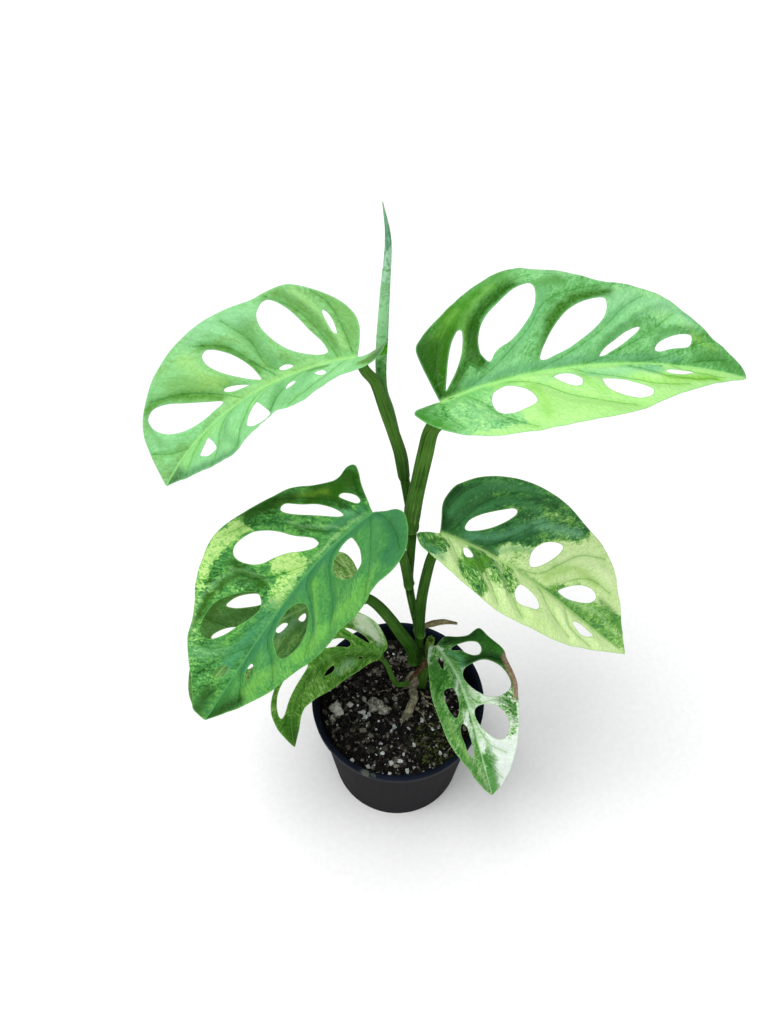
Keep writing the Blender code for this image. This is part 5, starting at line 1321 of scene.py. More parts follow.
def knobbly_mesh(name, path, radii, rough, sides=40):
    """A closed tube along a path with an uneven skin; rough is the height of its knobs over its radius."""
    path, radii = round_ends(path, radii)
    across, outward = frames(path, (0, -0.3, 1))
    angles = circle(sides)
    places = rings_round(path, across, outward, radii[:, None], angles)
    knobs = np.array([[noise.noise(Vector(p / 4.2)) + 0.5 * noise.noise(Vector(p / 1.6))
                       + 0.25 * noise.noise(Vector(p / 0.7)) for p in row] for row in places])
    rings = rings_round(path, across, outward, radii[:, None] * (1 + rough * knobs), angles)
    return loft_mesh(name, rings, path_lengths(path))


def build_root(material):
    """The old root that lies over the soil: knobbly, cracked along its length."""
    path = even_path(ROOT_POINTS, 0.5)
    radii = along_path(ROOT_POINTS, ROOT_RADII, path_lengths(path))
    add_piece(knobbly_mesh("old_root", path, radii, 0.36, 48), material, "root_bark", "woody_root")


def build_fine_roots(material):
    """Thin roots that wander over the soil from the foot of the stem."""
    for index, (radius, points) in enumerate(FINE_ROOTS):
        path = even_path([(x, y, 0) for x, y in points], 0.6)
        for place in path:
            x, y = place[:2]
            place[2] = crumb_height(x, y) + 0.8 + 0.5 * noise.noise(Vector((x / 3, y / 3, index)))
        path[0, 2] -= 2.0
        radii = radius * np.linspace(1.0, 0.5, len(path))
        add_piece(knobbly_mesh("fine_root_%d" % index, path, radii, 0.35, 12), material, "root_bark")


def build_root_bit(name, points, profile, rough, sides, material):
    """A short old root; its profile is (shares of its length, radii)."""
    path = even_path(points, 0.6)
    radii = np.interp(np.linspace(0, 1, len(path)), *profile)
    add_piece(knobbly_mesh(name, path, radii, rough, sides), material, "root_bark")


# Modelling with operators


def pick_only(piece):
    bpy.ops.object.select_all(action="DESELECT")
    piece.select_set(True)
    bpy.context.view_layer.objects.active = piece


def apply_modifiers(piece):
    pick_only(piece)
    for modifier in list(piece.modifiers):
        bpy.ops.object.modifier_apply(modifier=modifier.name)


def new_primitive(name):
    """The primitive just added, renamed, as the only selected object."""
    piece = bpy.context.view_layer.objects.active
    piece.name = name
    piece.data.name = name
    pick_only(piece)
    return piece


def settle(piece):
    """Puts a modelled object's place into its mesh."""
    pick_only(piece)
    bpy.ops.object.transform_apply(location=True, rotation=True, scale=True)


def finish_piece(piece, material, replaced, smooth_angle):
    settle(piece)
    bpy.ops.object.shade_smooth_by_angle(angle=math.radians(smooth_angle))
    piece.data.materials.clear()
    piece.data.materials.append(material)
    claim(piece, [replaced])


def select_faces(piece, chosen):
    """In edit mode, selects the faces whose centre, in mm, and normal the test picks."""
    bpy.ops.mesh.select_mode(type="FACE")
    bpy.ops.mesh.select_all(action="DESELECT")
    shape = bmesh.from_edit_mesh(piece.data)
    for face in shape.faces:
        face.select = chosen(face.calc_center_median() / MM, face.normal)
    shape.select_flush(True)
    bmesh.update_edit_mesh(piece.data)


# Pot


def pull_ring(height_change, radius_from, radius_to):
    """Extrudes the selected cap along Z and scales it about the pot's axis."""
    bpy.ops.mesh.extrude_region_move(TRANSFORM_OT_translate={"value": (0, 0, height_change * MM)})
    factor = radius_to / radius_from
    bpy.ops.transform.resize(value=(factor, factor, 1.0), center_override=(0, 0, 0))


def build_pot(material):
    """A tapered wall, a stepped rim with a rolled lip, and drain holes through the floor."""
    rim_bottom = POT_HEIGHT - RIM_HEIGHT
    bpy.ops.object.select_all(action="DESELECT")
    bpy.ops.mesh.primitive_cone_add(
        vertices=POT_SIDES, radius1=POT_BASE_RADIUS * MM, radius2=UNDER_RIM_RADIUS * MM,
        depth=rim_bottom * MM, location=(0, 0, rim_bottom / 2 * MM))
    pot = new_primitive("nursery_pot")
    settle(pot)
    bpy.ops.object.mode_set(mode="EDIT")
    select_faces(pot, lambda centre, normal: centre.z > rim_bottom - 0.1 and normal.z > 0.9)
    # up the outside of the rim, over its lip and down the wall's inside: (height change, radius)
    inner_foot = POT_BASE_RADIUS - POT_WALL
    steps = [(0.0, POT_RIM_RADIUS - 0.5), (0.5, POT_RIM_RADIUS - 0.25), (RIM_HEIGHT - 2.0, POT_RIM_RADIUS),
             (0.9, POT_RIM_RADIUS - 0.15), (0.6, POT_RIM_RADIUS - 0.8), (0.0, POT_RIM_RADIUS - 1.6),
             (-0.15, POT_RIM_RADIUS - RIM_THICKNESS + 0.5), (-0.6, POT_RIM_RADIUS - RIM_THICKNESS),
             (-RIM_HEIGHT + 1.2, UNDER_RIM_RADIUS - POT_WALL)]
    reached = rim_bottom + sum(height for height, _ in steps)
    steps += [(POT_FLOOR + POT_FOOT_ROUNDING - reached, inner_foot),
              (-POT_FOOT_ROUNDING, inner_foot - POT_FOOT_ROUNDING)]
    radius = UNDER_RIM_RADIUS
    for height, wanted in steps:
        pull_ring(height, radius, wanted)
        radius = wanted
    bpy.ops.object.mode_set(mode="OBJECT")
    round_edges(pot)
    cut_drain_holes(pot)
    finish_piece(pot, material, "pot", 35)


def round_edges(pot):
    bevel = pot.modifiers.new("rounding", "BEVEL")
    bevel.width = EDGE_ROUNDING * MM
    bevel.segments = 2
    bevel.limit_method = "ANGLE"
    bevel.angle_limit = math.radians(30)
    apply_modifiers(pot)


def cut_drain_holes(pot):
    for index in range(DRAIN_COUNT):
        angle = math.tau * (index + 0.5) / DRAIN_COUNT
        place = (DRAIN_CIRCLE * math.cos(angle) * MM, DRAIN_CIRCLE * math.sin(angle) * MM, 0)
        bpy.ops.object.select_all(action="DESELECT")
        bpy.ops.mesh.primitive_cylinder_add(
            vertices=24, radius=DRAIN_RADIUS * MM, depth=8 * MM, location=place)
        cutter = new_primitive("drain_cutter")
        cut = pot.modifiers.new("drain", "BOOLEAN")
        cut.operation = "DIFFERENCE"
        cut.object = cutter
        apply_modifiers(pot)
        bpy.data.objects.remove(cutter, do_unlink=True)


# Soil


def soil_height(x, y):
    """Domed top with low lumps, in waves of a few centimetres."""
    dome = SOIL_CROWN_Z - (SOIL_CROWN_Z - SOIL_EDGE_Z) * (x * x + y * y) / POT_BASE_RADIUS ** 2
    lumps = math.sin(0.21 * x + 0.4) * math.cos(0.25 * y - 0.7) + 0.5 * math.sin(0.47 * x - 0.39 * y)
    return dome + 0.9 * lumps


def crumb_height(x, y):
    """The soil's top with its crumbs and the dark gaps between them."""
    coarse = noise.noise(Vector((x / 4.5, y / 4.5, 0.3))) * 1.3
    fine = noise.noise(Vector((x / 0.9, y / 0.9, 2.3))) * 0.4
    near = noise.voronoi(Vector((x / 3.2, y / 3.2, 0.7)))[0]
    gap = math.exp(-((near[1] - near[0]) / 0.16) ** 2)
    return soil_height(x, y) + coarse + fine + 0.5 - 1.7 * gap


def pot_inner_radius(height):
    heights = (POT_FLOOR + POT_FOOT_ROUNDING, POT_HEIGHT - RIM_HEIGHT + 0.4)
    return float(np.interp(height, heights, (POT_BASE_RADIUS - POT_WALL, UNDER_RIM_RADIUS - POT_WALL)))


def build_soil(material):
    """The root ball: a spun profile whose top is raised into crumbs."""
    edge = pot_inner_radius(SOIL_EDGE_Z) - SOIL_GAP
    foot = POT_FLOOR + POT_FOOT_ROUNDING
    foot_radius = pot_inner_radius(foot) - SOIL_GAP
    floor = POT_FLOOR + 0.3
    profile = [(edge * k / SOIL_RINGS, SOIL_EDGE_Z) for k in range(SOIL_RINGS + 1)]
    profile += [(foot_radius, foot), (foot_radius - POT_FOOT_ROUNDING, floor), (0.0, floor)]
    edges = [(i, i + 1) for i in range(len(profile) - 1)]
    mesh = bpy.data.meshes.new("potting_mix_bed")
    mesh.from_pydata([(r * MM, 0, z * MM) for r, z in profile], edges, [])
    bed = bpy.data.objects.new("potting_mix_bed", mesh)
    bpy.context.scene.collection.objects.link(bed)
    pick_only(bed)
    bpy.ops.object.mode_set(mode="EDIT")
    bpy.ops.mesh.select_all(action="SELECT")
    bpy.ops.mesh.spin(steps=SOIL_SIDES, angle=math.tau, center=(0, 0, 0), axis=(0, 0, 1))
    bpy.ops.mesh.select_all(action="SELECT")
    bpy.ops.mesh.remove_doubles(threshold=0.02 * MM)
    bpy.ops.mesh.normals_make_consistent(inside=False)
    bpy.ops.object.mode_set(mode="OBJECT")
    for vertex in bed.data.vertices:
        x, y, z = vertex.co / MM
        if z > SOIL_EDGE_Z - 0.1:
            vertex.co.z = crumb_height(x, y) * MM
    finish_piece(bed, material, "soil", 60)


def add_grain(heap, x, y, size, seed, subdivisions, rough, sink=0.1, squash=(1, 0.8, 0.6)):
    """An uneven lump that rests in the soil; size is its half length."""
    draw = random.Random(seed)
    stretch = Vector([size * s * draw.uniform(0.85, 1.15) * MM for s in squash])
    place = (Matrix.Translation(Vector((x, y, crumb_height(x, y) + sink * size)) * MM)
             @ Matrix.Rotation(draw.uniform(0, math.tau), 4, "Z")
             @ Matrix.Rotation(draw.uniform(-0.4, 0.4), 4, "X") @ Matrix.Diagonal((*stretch, 1.0)))
    made = bmesh.ops.create_icosphere(heap, subdivisions=subdivisions, radius=1.0)
    offset = Vector((seed * 0.37, seed * 0.11, 0))
    for vertex in made["verts"]:
        bulge = noise.noise(vertex.co * 1.4 + offset) + 0.4 * noise.noise(vertex.co * 4.0 + offset)
        vertex.co = place @ (vertex.co * (1 + rough * bulge))


def scatter(name, material, grains, smooth=False, **form):
    """Many small grains in one piece; a grain is (x, y, size, seed).  Each has a random value, its lot."""
    heap = bmesh.new()
    lots = []
    for grain in grains:
        add_grain(heap, *grain, **form)
        lots += [random.Random(grain[3] * 7 + 3).random()] * (len(heap.verts) - len(lots))
    mesh = bpy.data.meshes.new(name)
    heap.to_mesh(mesh)
    heap.free()
    set_attribute(mesh, "lot", lots)
    if smooth:
        mesh.shade_smooth()
    add_piece(mesh, material, "potting_mix")


def placed(places, first_seed):
    """Grains at given places, with seeds of their own."""
    return [(*place, first_seed + index) for index, place in enumerate(places)]


def spread(draw, count, reach, sizes, centre=(0, 0)):
    """Grains at random places of a disc."""
    grains = []
    for _ in range(count):
        radius = reach * math.sqrt(draw.random())
        angle = draw.uniform(0, math.tau)
        grains.append((centre[0] + radius * math.cos(angle), centre[1] + radius * math.sin(angle),
                       draw.uniform(*sizes), draw.randrange(10000)))
    return grains


def build_soil_details():
    """What lies loose on the soil, the large bits where the photograph shows them."""
    draw = random.Random(5)
    reach = pot_inner_radius(SOIL_EDGE_Z) - 2.0
    scatter("bark_chips", make_pine_bark(), placed(BARK_PLACES, 100) + spread(draw, 60, reach, (1.2, 2.2)),
            subdivisions=3, rough=0.6)
    scatter("pale_lumps", make_mineral_lump(), placed(LUMP_PLACES, 300), smooth=True,
            subdivisions=4, rough=0.4, sink=0.25, squash=(1, 0.85, 0.85))
    scatter("perlite_grains", make_perlite(),
            placed(PERLITE_PLACES, 200) + spread(draw, 90, reach, (0.35, 0.8)),
            subdivisions=2, rough=0.8, sink=0.35, squash=(1, 0.8, 0.75))
    scatter("coir_crumbs", make_coir(),
            spread(draw, 1500, reach, (0.4, 1.1)) + spread(draw, 500, reach, (1.0, 1.9)),
            subdivisions=1, rough=0.8)
    scatter("moss_tufts", make_moss(), spread(draw, 600, MOSS_REACH, (0.35, 0.9), MOSS_CENTRE), smooth=True,
            subdivisions=1, rough=0.9, sink=0.3, squash=(1, 1, 0.9))


# Materials: Map Range takes from and to as sockets 1 to 4, and Mix its two colours as 6 and 7

COLOUR_MIX = {"output": 2, "data_type": "RGBA"}
COLOUR_PRODUCT = {**COLOUR_MIX, "blend_type": "MULTIPLY"}
# Areoles between the small veins, in mm along and across them
AREOLE = (1.9, 1.1, 1.0)


def swayed_plane(add):
    """The blade's plane in mm, swayed so that what follows its small veins is drawn out unevenly."""
    uv = add("ShaderNodeUVMap", uv_map="vein_plane")
    plane = add("ShaderNodeVectorMath", {0: uv, "Scale": PLANE_UNIT}, operation="SCALE")
    for size, reach in ((3.4, 2.4), (0.9, 0.7)):
        sway = add("ShaderNodeTexNoise", {"Vector": plane, "Scale": 1 / size, "Detail": 1.0}, output="Color")
        sway = add("ShaderNodeVectorMath", {0: sway, 1: (0.5, 0.5, 0.5)}, operation="SUBTRACT")
        sway = add("ShaderNodeVectorMath", {0: sway, "Scale": reach}, operation="SCALE")
        plane = add("ShaderNodeVectorMath", {0: plane, 1: sway}, operation="ADD")
    return plane


def variegation(add, plane, packed, tone, mottle, grain):
    """Tone of the tissue, which steps from areole to areole, and the specks in it."""
    cell = add("ShaderNodeTexVoronoi", {"Vector": packed, "Scale": 1.0}, output="Position",
               voronoi_dimensions="2D")
    to_cell = add("ShaderNodeVectorMath", {0: cell, 1: packed}, operation="SUBTRACT")
    to_cell = add("ShaderNodeVectorMath", {0: to_cell, 1: AREOLE}, operation="MULTIPLY")
    slope = add("ShaderNodeAttribute", attribute_name="slope", output="Vector")
    step = add("ShaderNodeVectorMath", {0: to_cell, 1: slope}, operation="DOT_PRODUCT", output="Value")
    inner_cell = add("ShaderNodeTexVoronoi", {"Vector": packed, "Scale": 2.1}, output="Position",
                     voronoi_dimensions="2D")
    speck = add("ShaderNodeTexWhiteNoise", {"Vector": inner_cell}, noise_dimensions="2D")
    speck = add("ShaderNodeMath", {0: speck, 1: 0.9, 2: -0.45}, operation="MULTIPLY_ADD")
    # marbling runs along the veins in streaks a millimetre wide
    drawn = add("ShaderNodeVectorMath", {0: plane, 1: (0.16, 0.85, 1.0)}, operation="MULTIPLY")
    streak = add("ShaderNodeTexNoise", {"Vector": drawn, "Scale": 1.0, "Detail": 3.0, "Roughness": 0.6})
    blotch = add("ShaderNodeTexNoise", {"Vector": cell, "Scale": 0.3, "Detail": 3.0})
    blotch = add("ShaderNodeMath", {0: streak, 1: 1.1, 2: blotch}, operation="MULTIPLY_ADD")
    blotch = add("ShaderNodeMath", {0: blotch, 1: 2.2, 2: -2.31}, operation="MULTIPLY_ADD")
    uneven = add("ShaderNodeMath", {0: blotch, 1: speck}, operation="ADD")
    uneven = add("ShaderNodeMath", {0: uneven, 1: mottle}, operation="MULTIPLY")
    fine = add("ShaderNodeMath", {0: grain, 1: 0.36, 2: -0.18}, operation="MULTIPLY_ADD")
    for part in (step, uneven):
        tone = add("ShaderNodeMath", {0: tone, 1: part}, operation="ADD")
    return add("ShaderNodeMath", {0: tone, 1: fine}, operation="ADD", use_clamp=True), speck


def make_leaf_tissue(leaf):
    """Living leaf tissue with a waxy cuticle: the variegation follows the net of small veins, so its
    borders are jagged and drawn out along the veins; a satin sheen that the veins break up."""
    deep, green, light, cream = leaf.colours
    material, add, shader = new_material("leaf_tissue_" + leaf.name, 0.42, Specular_IOR_Level=0.13)
    tone, mottle, vein, rib, margin, under, scorched = (
        add("ShaderNodeAttribute", attribute_name=attribute, output="Fac")
        for attribute in ("tone", "mottle", "vein", "rib", "margin", "underside", "scorch"))
    plane = swayed_plane(add)
    packed = add("ShaderNodeVectorMath", {0: plane, 1: AREOLE}, operation="DIVIDE")
    grain = add("ShaderNodeTexNoise", {"Vector": packed, "Scale": 1.4, "Detail": 4.0})
    tone, speck = variegation(add, plane, packed, tone, mottle, grain)
    tissue = set_stops(add("ShaderNodeValToRGB", {"Fac": tone}),
                       ((0.0, deep), (0.36, green), (0.64, light), (1.0, cream)))
    # the washes fray along the areoles: the dark ones are painted shade in hollows and folds, the pale
    # ones partly painted light on ridges and partly the leaf's own streaks
    wash = add("ShaderNodeAttribute", attribute_name="wash", output="Color")
    cover = add("ShaderNodeMath", {0: speck, 1: 0.45, 2: 1.0}, operation="MULTIPLY_ADD")
    cover = add("ShaderNodeMath", {0: cover, 1: wash.node.outputs["Alpha"]}, operation="MULTIPLY",
                use_clamp=True)
    # small veins dim the tissue in fine lines, the lateral ones in thin lines; the broader dimming beside
    # each lateral vein is painted shade of the sunken vein and its quilted hollow
    net = add("ShaderNodeTexVoronoi", {"Vector": packed, "Scale": 0.55}, output="Distance",
              voronoi_dimensions="2D", feature="DISTANCE_TO_EDGE")
    line = add("ShaderNodeMapRange", {"Value": net, 1: 0.0, 2: 0.09, 3: 0.3, 4: 0.0})
    flank_shade = add("ShaderNodeMapRange", {"Value": vein, 1: 0.2, 2: 2.2, 3: 0.4, 4: 0.0})
    lateral = add("ShaderNodeMapRange", {"Value": vein, 1: 0.1, 2: 0.5, 3: 0.6, 4: 0.0})
    # the midrib is pale, the margin a thin hyaline line, the underside duller and the scorch brown
    rib = add("ShaderNodeMath", {0: rib, 1: 0.8}, operation="MULTIPLY")
    margin = add("ShaderNodeMapRange", {"Value": margin, 1: 0.05, 2: 0.5, 3: 0.4, 4: 0.0})
    under = add("ShaderNodeMath", {0: under, 1: 0.45}, operation="MULTIPLY")
    brown = set_stops(add("ShaderNodeValToRGB", {"Fac": grain}), ((0.3, "#7a5a3c"), (0.7, "#b09a86")))
    for share, over, blend in (
            (cover, wash, COLOUR_MIX), (line, colour("#bcd3b4"), COLOUR_PRODUCT),
            (flank_shade, colour("#bfdcae"), COLOUR_PRODUCT), (lateral, colour("#9fc08c"), COLOUR_PRODUCT),
            (rib, colour(leaf.rib_colour), COLOUR_MIX), (margin, colour(light), COLOUR_MIX),
            (under, colour(green), COLOUR_MIX), (scorched, brown, COLOUR_MIX)):
        tissue = add("ShaderNodeMix", {"Factor": share, 6: tissue, 7: over}, **blend)
    rough = add("ShaderNodeMath", {0: grain, 1: 0.2, 2: 0.36}, operation="MULTIPLY_ADD")
    rough = add("ShaderNodeMath", {0: under, 1: 0.3, 2: rough}, operation="MULTIPLY_ADD")
    height = add("ShaderNodeMapRange", {"Value": net, 1: 0.0, 2: 0.3, 3: 0.0, 4: 1.0})
    height = add("ShaderNodeMath", {0: grain, 1: 0.5, 2: height}, operation="MULTIPLY_ADD")
    bump = add("ShaderNodeBump", {"Height": height, "Distance": 0.14 * MM, "Strength": 0.7})
    feed(shader, Base_Color=tissue, Roughness=rough, Normal=bump)
    return material


def strand_skin(name, stops, ribs, scars=False):
    """Skin over lengthwise strands, which show as lines, darker and lighter, with flecks."""
    material, add, shader = new_material(name, 0.75, Specular_IOR_Level=0.04)
    uv = add("ShaderNodeUVMap", uv_map="skin")
    parts = add("ShaderNodeSeparateXYZ", {"Vector": uv})
    along, around = (parts.node.outputs[axis] for axis in "XY")
    wave = add("ShaderNodeMath", {0: around, 1: math.tau * ribs}, operation="MULTIPLY")
    wave = add("ShaderNodeMath", {0: wave}, operation="SINE")
    streaks = add("ShaderNodeCombineXYZ", {"X": along, "Y": around})
    streaks = add("ShaderNodeMapping", {"Vector": streaks, "Scale": (4.0, 26.0, 1.0)})
    streaks = add("ShaderNodeTexNoise", {"Vector": streaks, "Scale": 1.0, "Detail": 4.0})
    places = add("ShaderNodeTexCoord", output="Object")
    blotch = add("ShaderNodeTexNoise", {"Vector": places, "Scale": 90.0, "Detail": 3.0})
    fleck = add("ShaderNodeTexNoise", {"Vector": places, "Scale": 900.0, "Detail": 2.0})
    mix = streaks
    for pattern, amount in ((wave, 0.09), (blotch, 0.7), (fleck, 0.15)):
        mix = add("ShaderNodeMath", {0: pattern, 1: amount, 2: mix}, operation="MULTIPLY_ADD")
    mix = add("ShaderNodeMapRange", {"Value": mix, 1: 0.58, 2: 1.26, 3: 0.0, 4: 1.0})
    skin = set_stops(add("ShaderNodeValToRGB", {"Fac": mix}), stops)
    # the colour deepens towards the foot of each stalk, by each stalk's shade value, and on the stem
    # just under each ring
    darkening = add("ShaderNodeAttribute", attribute_name="darkening", output="Fac")
    skin = add("ShaderNodeMix", {"Factor": darkening, 6: skin, 7: colour("#8fa888")}, **COLOUR_PRODUCT)
    if scars:
        scar = add("ShaderNodeAttribute", attribute_name="scar", output="Fac")
        skin = add("ShaderNodeMix", {"Factor": scar, 6: skin, 7: colour("#8c9468")}, **COLOUR_MIX)
    height = add("ShaderNodeMath", {0: wave, 1: 0.5, 2: streaks}, operation="MULTIPLY_ADD")
    bump = add("ShaderNodeBump", {"Height": height, "Distance": 0.12 * MM, "Strength": 0.7})
    feed(shader, Base_Color=skin, Normal=bump)
    return material


def make_petiole_epidermis():
    """Smooth living epidermis over fine strands: fresh green with fine pale lines, hardly shiny."""
    return strand_skin("petiole_epidermis",
                       ((0.15, "#32581a"), (0.5, "#527f31"), (0.75, "#527f31"), (1.0, "#8cae62")), 14)


def make_stem_epidermis():
    """The stem's older epidermis: deeper green, with a dry pale band on each leaf scar."""
    return strand_skin("stem_epidermis",
                       ((0.15, "#23460e"), (0.5, "#3a6420"), (0.75, "#3a6420"), (1.0, "#6a9048")), 10,
                       scars=True)


def make_cut_petiole_base():
    """A leaf base that dries after the cut: yellowing green with coarse strands."""
    return strand_skin("cut_petiole_base",
                       ((0.15, "#3a5f1a"), (0.5, "#628838"), (0.75, "#628838"), (1.0, "#a0a462")), 9)


def make_rolled_leaf_tissue():
    """A new leaf still rolled: thin pale tissue, its side veins drawn as faint slanting lines."""
    material, add, shader = new_material("rolled_leaf_tissue", 0.5, Specular_IOR_Level=0.1)
    uv = add("ShaderNodeUVMap", uv_map="skin")
    slant = add("ShaderNodeMapping", {"Vector": uv, "Scale": (44.0, 5.0, 1.0), "Rotation": (0, 0, 0.9)})
    lines = add("ShaderNodeTexNoise", {"Vector": slant, "Scale": 1.0, "Detail": 3.0})
    along = add("ShaderNodeSeparateXYZ", {"Vector": uv})
    share = add("ShaderNodeMapRange", {"Value": along, 1: 0.0, 2: 1.35, 3: -0.15, 4: 0.85})
    mix = add("ShaderNodeMath", {0: lines, 1: 0.3, 2: share}, operation="MULTIPLY_ADD")
    skin = set_stops(add("ShaderNodeValToRGB", {"Fac": mix}),
                     ((0.3, "#3f7a2a"), (0.39, "#5a9a50"), (0.46, "#8ccc8c"), (0.57, "#a2dca4"),
                      (0.63, "#7ab87a"), (0.69, "#b2e0bc"), (0.77, "#549068"), (0.87, "#8cc498")))
    seam = add("ShaderNodeAttribute", attribute_name="seam", output="Fac")
    seam = add("ShaderNodeMath", {0: seam, 1: 0.6}, operation="MULTIPLY")
    skin = add("ShaderNodeMix", {"Factor": seam, 6: skin, 7: colour("#3d7a2a")}, **COLOUR_MIX)
    shade = add("ShaderNodeMapRange", {"Value": lines, 1: 0.42, 2: 0.3, 3: 0.0, 4: 0.7})
    skin = add("ShaderNodeMix", {"Factor": shade, 6: skin, 7: colour("#a8c4a0")}, **COLOUR_PRODUCT)
    bump = add("ShaderNodeBump", {"Height": lines, "Distance": 0.15 * MM, "Strength": 0.6})
    feed(shader, Base_Color=skin, Normal=bump)
    return material


def natural_stuff(name, stops, grain_mm, roughness, depth_mm, variety=0.0):
    """Broken, dull stuff, mottled at its own grain size; variety is how much its grains differ."""
    material, add, shader = new_material(name, roughness, Specular_IOR_Level=0.12)
    places = add("ShaderNodeTexCoord", output="Object")
    coarse = add("ShaderNodeTexNoise", {"Vector": places, "Scale": 1000 / grain_mm, "Detail": 6.0,
                                        "Roughness": 0.65})
    fine = add("ShaderNodeTexNoise", {"Vector": places, "Scale": 5000 / grain_mm, "Detail": 4.0})
    lot = add("ShaderNodeAttribute", attribute_name="lot", output="Fac")
    mix = add("ShaderNodeMath", {0: fine, 1: 0.35, 2: coarse}, operation="MULTIPLY_ADD")
    mix = add("ShaderNodeMath", {0: lot, 1: variety, 2: mix}, operation="MULTIPLY_ADD")
    mix = add("ShaderNodeMath", {0: mix, 1: 0.175 + 0.5 * variety}, operation="SUBTRACT")
    stuff = set_stops(add("ShaderNodeValToRGB", {"Fac": mix}), stops)
    bump = add("ShaderNodeBump", {"Height": mix, "Distance": depth_mm * MM, "Strength": 1.0})
    feed(shader, Base_Color=stuff, Normal=bump)
    return material


def make_leaf_underside():
    """The back of a blade: plain lime green without the face's sheen."""
    return natural_stuff("leaf_underside", ((0.3, "#2b7404"), (0.5, "#3f8e0c"), (0.72, "#66b034")),
                         2.0, 0.6, 0.05)


def make_root_bark():
    """Weathered root bark: grey-tan, dry and deeply cracked."""
    return natural_stuff("weathered_root_bark", ((0.3, "#4a4838"), (0.5, "#817d68"), (0.72, "#b9b49c")),
                         2.5, 0.85, 0.5)


def make_root_fibre():
    """Dead root fibre: dark brown strands with tan edges."""
    return natural_stuff("dead_root_fibre", ((0.3, "#23170e"), (0.5, "#4e3822"), (0.72, "#8f7652")),
                         1.5, 0.85, 0.3)


def make_papery_sheath():
    """A sheath dried to paper: dull straw brown, faintly wrinkled."""
    return natural_stuff("dry_papery_sheath", ((0.3, "#5c5236"), (0.55, "#8d8562"), (0.75, "#b3ac90")),
                         3.0, 0.8, 0.1)


def make_damp_peat():
    """Damp peat: nearly black where its grain lies low, grey-brown where it rises in crumbs."""
    return natural_stuff("damp_peat", ((0.3, "#070606"), (0.5, "#171513"), (0.64, "#35312b"),
                                       (0.8, "#6a6458")), 2.2, 0.85, 0.5)


def make_pine_bark():
    """Chips of pine bark: dark and layered, no two of one brown."""
    return natural_stuff("pine_bark", ((0.25, "#0f0e0c"), (0.5, "#2c2a25"), (0.74, "#78756a")),
                         3.0, 0.85, 0.4, 0.5)


def make_mineral_lump():
    """Lumps of pale mineral: chalky, pitted and dark grey in the pits."""
    return natural_stuff("mineral_lump", ((0.26, "#3a3834"), (0.4, "#77746a"), (0.52, "#b4b2a8"),
                                          (0.68, "#e6e6e0")), 2.6, 0.85, 0.6, 0.2)


def make_perlite():
    """Expanded perlite: white popped grains with faint grey hollows, matt."""
    return natural_stuff("expanded_perlite", ((0.3, "#8a8d90"), (0.5, "#c6caca"), (0.7, "#f0f2f0")),
                         1.2, 0.8, 0.2, 0.25)


def make_coir():
    """Coir and fine bark: crumbs from black to grey-tan, so that the bed never looks even."""
    return natural_stuff("coir_and_bark_fines", ((0.2, "#0a0908"), (0.5, "#221f1c"), (0.72, "#57514a"),
                                                 (0.95, "#a8a498")), 1.4, 0.9, 0.3, 0.75)


def make_moss():
    """Cushion moss: small dull olive tufts without any shine."""
    return natural_stuff("cushion_moss", ((0.25, "#10130a"), (0.5, "#2a3318"), (0.72, "#56602f")),
                         1.0, 0.9, 0.3, 0.5)


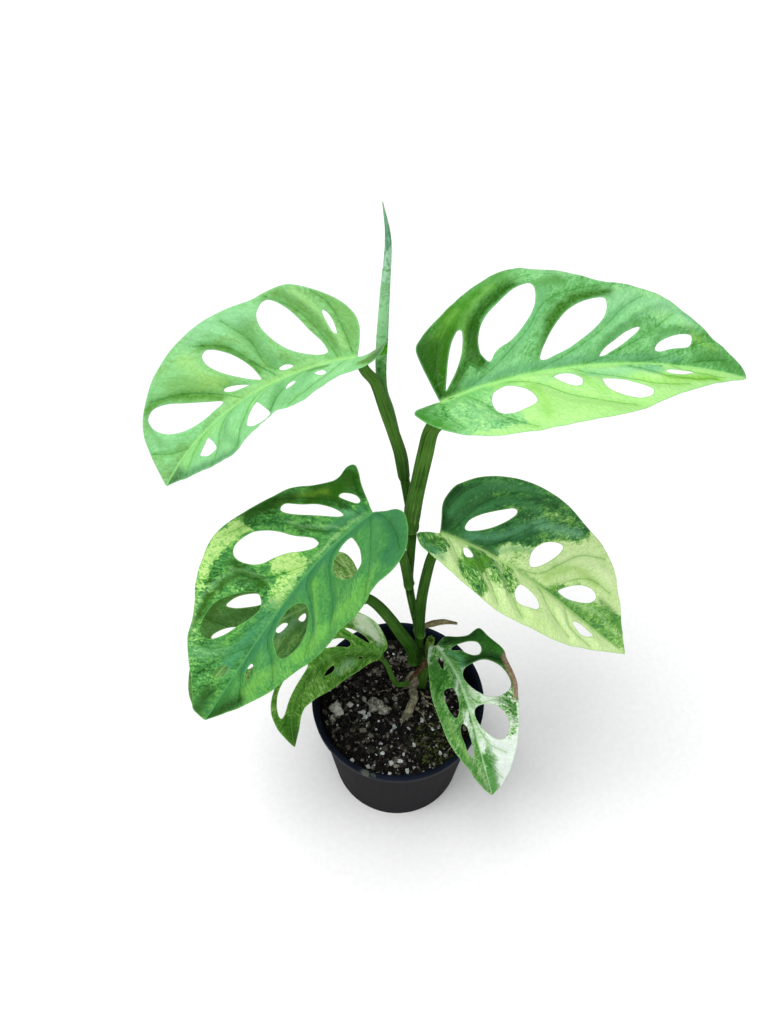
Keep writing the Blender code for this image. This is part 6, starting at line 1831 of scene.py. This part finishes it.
def make_pot_plastic():
    """Black polypropylene from an injection mould: matt, dusty walls drawn vertically when the pot
    left the mould, and a smoother rim that handling has polished, its lighter navy partly its own
    colour and partly painted sheen."""
    material, add, shader = new_material("moulded_polypropylene", 0.5, Specular_IOR_Level=0.04)
    places = add("ShaderNodeTexCoord", output="Object")
    parts = add("ShaderNodeSeparateXYZ", {"Vector": places})
    x, y, z = (parts.node.outputs[axis] for axis in "XYZ")
    angle = add("ShaderNodeMath", {0: y, 1: x}, operation="ARCTAN2")
    drawn = add("ShaderNodeCombineXYZ", {"X": angle, "Y": z})
    drawn = add("ShaderNodeMapping", {"Vector": drawn, "Scale": (60.0, 12.0, 1.0)})
    streak = add("ShaderNodeTexNoise", {"Vector": drawn, "Scale": 1.0, "Detail": 4.0})
    dust = add("ShaderNodeTexNoise", {"Vector": places, "Scale": 60.0, "Detail": 6.0})
    fine = add("ShaderNodeTexNoise", {"Vector": places, "Scale": 1600.0, "Detail": 2.0})
    mix = add("ShaderNodeMix", {"Factor": 0.5, 2: streak, 3: dust})
    wall = set_stops(add("ShaderNodeValToRGB", {"Fac": mix}),
                     ((0.3, "#09070b"), (0.55, "#121014"), (0.75, "#1e1a20")))
    # the rim's lighter navy is partly the plastic's own colour and partly painted sheen
    rim = set_stops(add("ShaderNodeValToRGB", {"Fac": mix}), ((0.35, "#0a0e17"), (0.7, "#182030")))
    on_rim = add("ShaderNodeMapRange", {"Value": z, 1: 0.0738, 2: 0.0746, 3: 0.0, 4: 1.0})
    skin = add("ShaderNodeMix", {"Factor": on_rim, 6: wall, 7: rim}, **COLOUR_MIX)
    # dried silt left on the front of the rim by watering
    away = add("ShaderNodeVectorMath", {0: places, 1: RIM_STAIN}, output="Value", operation="DISTANCE")
    grit = add("ShaderNodeTexNoise", {"Vector": places, "Scale": 350.0, "Detail": 4.0})
    away = add("ShaderNodeMath", {0: grit, 1: 0.014, 2: away}, operation="MULTIPLY_ADD")
    stain = add("ShaderNodeMapRange", {"Value": away, 1: 0.0108, 2: 0.0086, 3: 0.0, 4: 0.5})
    skin = add("ShaderNodeMix", {"Factor": stain, 6: skin, 7: colour("#6c7464")}, **COLOUR_MIX)
    rough = add("ShaderNodeMapRange", {"Value": on_rim, 1: 0.0, 2: 1.0, 3: 0.62, 4: 0.48})
    rough = add("ShaderNodeMath", {0: dust, 1: 0.12, 2: rough}, operation="MULTIPLY_ADD")
    height = add("ShaderNodeMath", {0: streak, 1: 0.6, 2: fine}, operation="MULTIPLY_ADD")
    bump = add("ShaderNodeBump", {"Height": height, "Distance": 0.12 * MM, "Strength": 0.6})
    feed(shader, Base_Color=skin, Roughness=rough, Normal=bump)
    return material


def make_matt_paper():
    """Matt white paper: a faint tooth and no shine."""
    material, add, shader = new_material("matt_white_paper", 0.9)
    places = add("ShaderNodeTexCoord", output="Object")
    tooth = add("ShaderNodeTexNoise", {"Vector": places, "Scale": 300.0, "Detail": 3.0})
    paper = set_stops(add("ShaderNodeValToRGB", {"Fac": tooth}), ((0.3, "#f2f2f1"), (0.7, "#f7f7f6")))
    feed(shader, Base_Color=paper)
    return material


# Stage


def build_stage():
    bpy.ops.object.select_all(action="DESELECT")
    bpy.ops.mesh.primitive_plane_add(size=6.0, location=(0, 0, 0))
    floor = new_primitive("studio_floor")
    floor.data.materials.append(make_matt_paper())


def add_sun(name, direction, strength, softness):
    """A far soft light that shines along a direction; softness is its width as an angle."""
    data = bpy.data.lights.new(name, "SUN")
    data.energy = strength
    data.angle = math.radians(softness)
    light = bpy.data.objects.new(name, data)
    light.rotation_euler = Vector(direction).to_track_quat("-Z", "Y").to_euler()
    bpy.context.scene.collection.objects.link(light)


def build_lights():
    world = bpy.data.worlds.new("soft_room")
    world.use_nodes = True
    sky = world.node_tree.nodes["Background"]
    sky.inputs["Color"].default_value = colour("#fbfcff")
    sky.inputs["Strength"].default_value = 0.5
    bpy.context.scene.world = world
    add_sun("key", (0.3, 0.1, -1.0), 2.15, 34)
    add_sun("front_fill", (-0.2, 1.0, -0.7), 0.5, 60)
    bpy.context.scene.view_settings.view_transform = "Standard"


def build_camera():
    data = bpy.data.cameras.new("camera")
    data.lens = CAMERA_LENS
    data.sensor_width = 36.0
    data.dof.use_dof = False
    camera = bpy.data.objects.new("camera", data)
    camera.location = [c * MM for c in CAMERA_PLACE]
    camera.rotation_euler = (math.radians(90 - CAMERA_TILT), 0, 0)
    bpy.context.scene.collection.objects.link(camera)
    bpy.context.scene.camera = camera


def main():
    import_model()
    build_camera()
    build_lights()
    build_stage()
    stalk = make_petiole_epidermis()
    for index, leaf in enumerate(LEAVES):
        build_blade(leaf, index * 3.7 + 1.3, make_leaf_tissue(leaf), "blade_" + leaf.name)
        build_petiole(leaf, index, stalk)
    build_collars(stalk)
    build_turned_lobe(make_leaf_underside())
    build_stem(make_stem_epidermis())
    build_furled_leaf(make_rolled_leaf_tissue())
    build_stub(make_cut_petiole_base())
    bark = make_root_bark()
    build_root(bark)
    build_fine_roots(bark)
    build_root_bit("dry_strand", STRAND_POINTS, STRAND_RADII, 0.6, 16, make_root_fibre())
    build_root_bit("root_crown", CROWN_POINTS, CROWN_RADII, 0.3, 40, bark)
    build_sheath(make_papery_sheath())
    build_pot(make_pot_plastic())
    build_soil(make_damp_peat())
    build_soil_details()
    bpy.ops.object.select_all(action="DESELECT")


main()
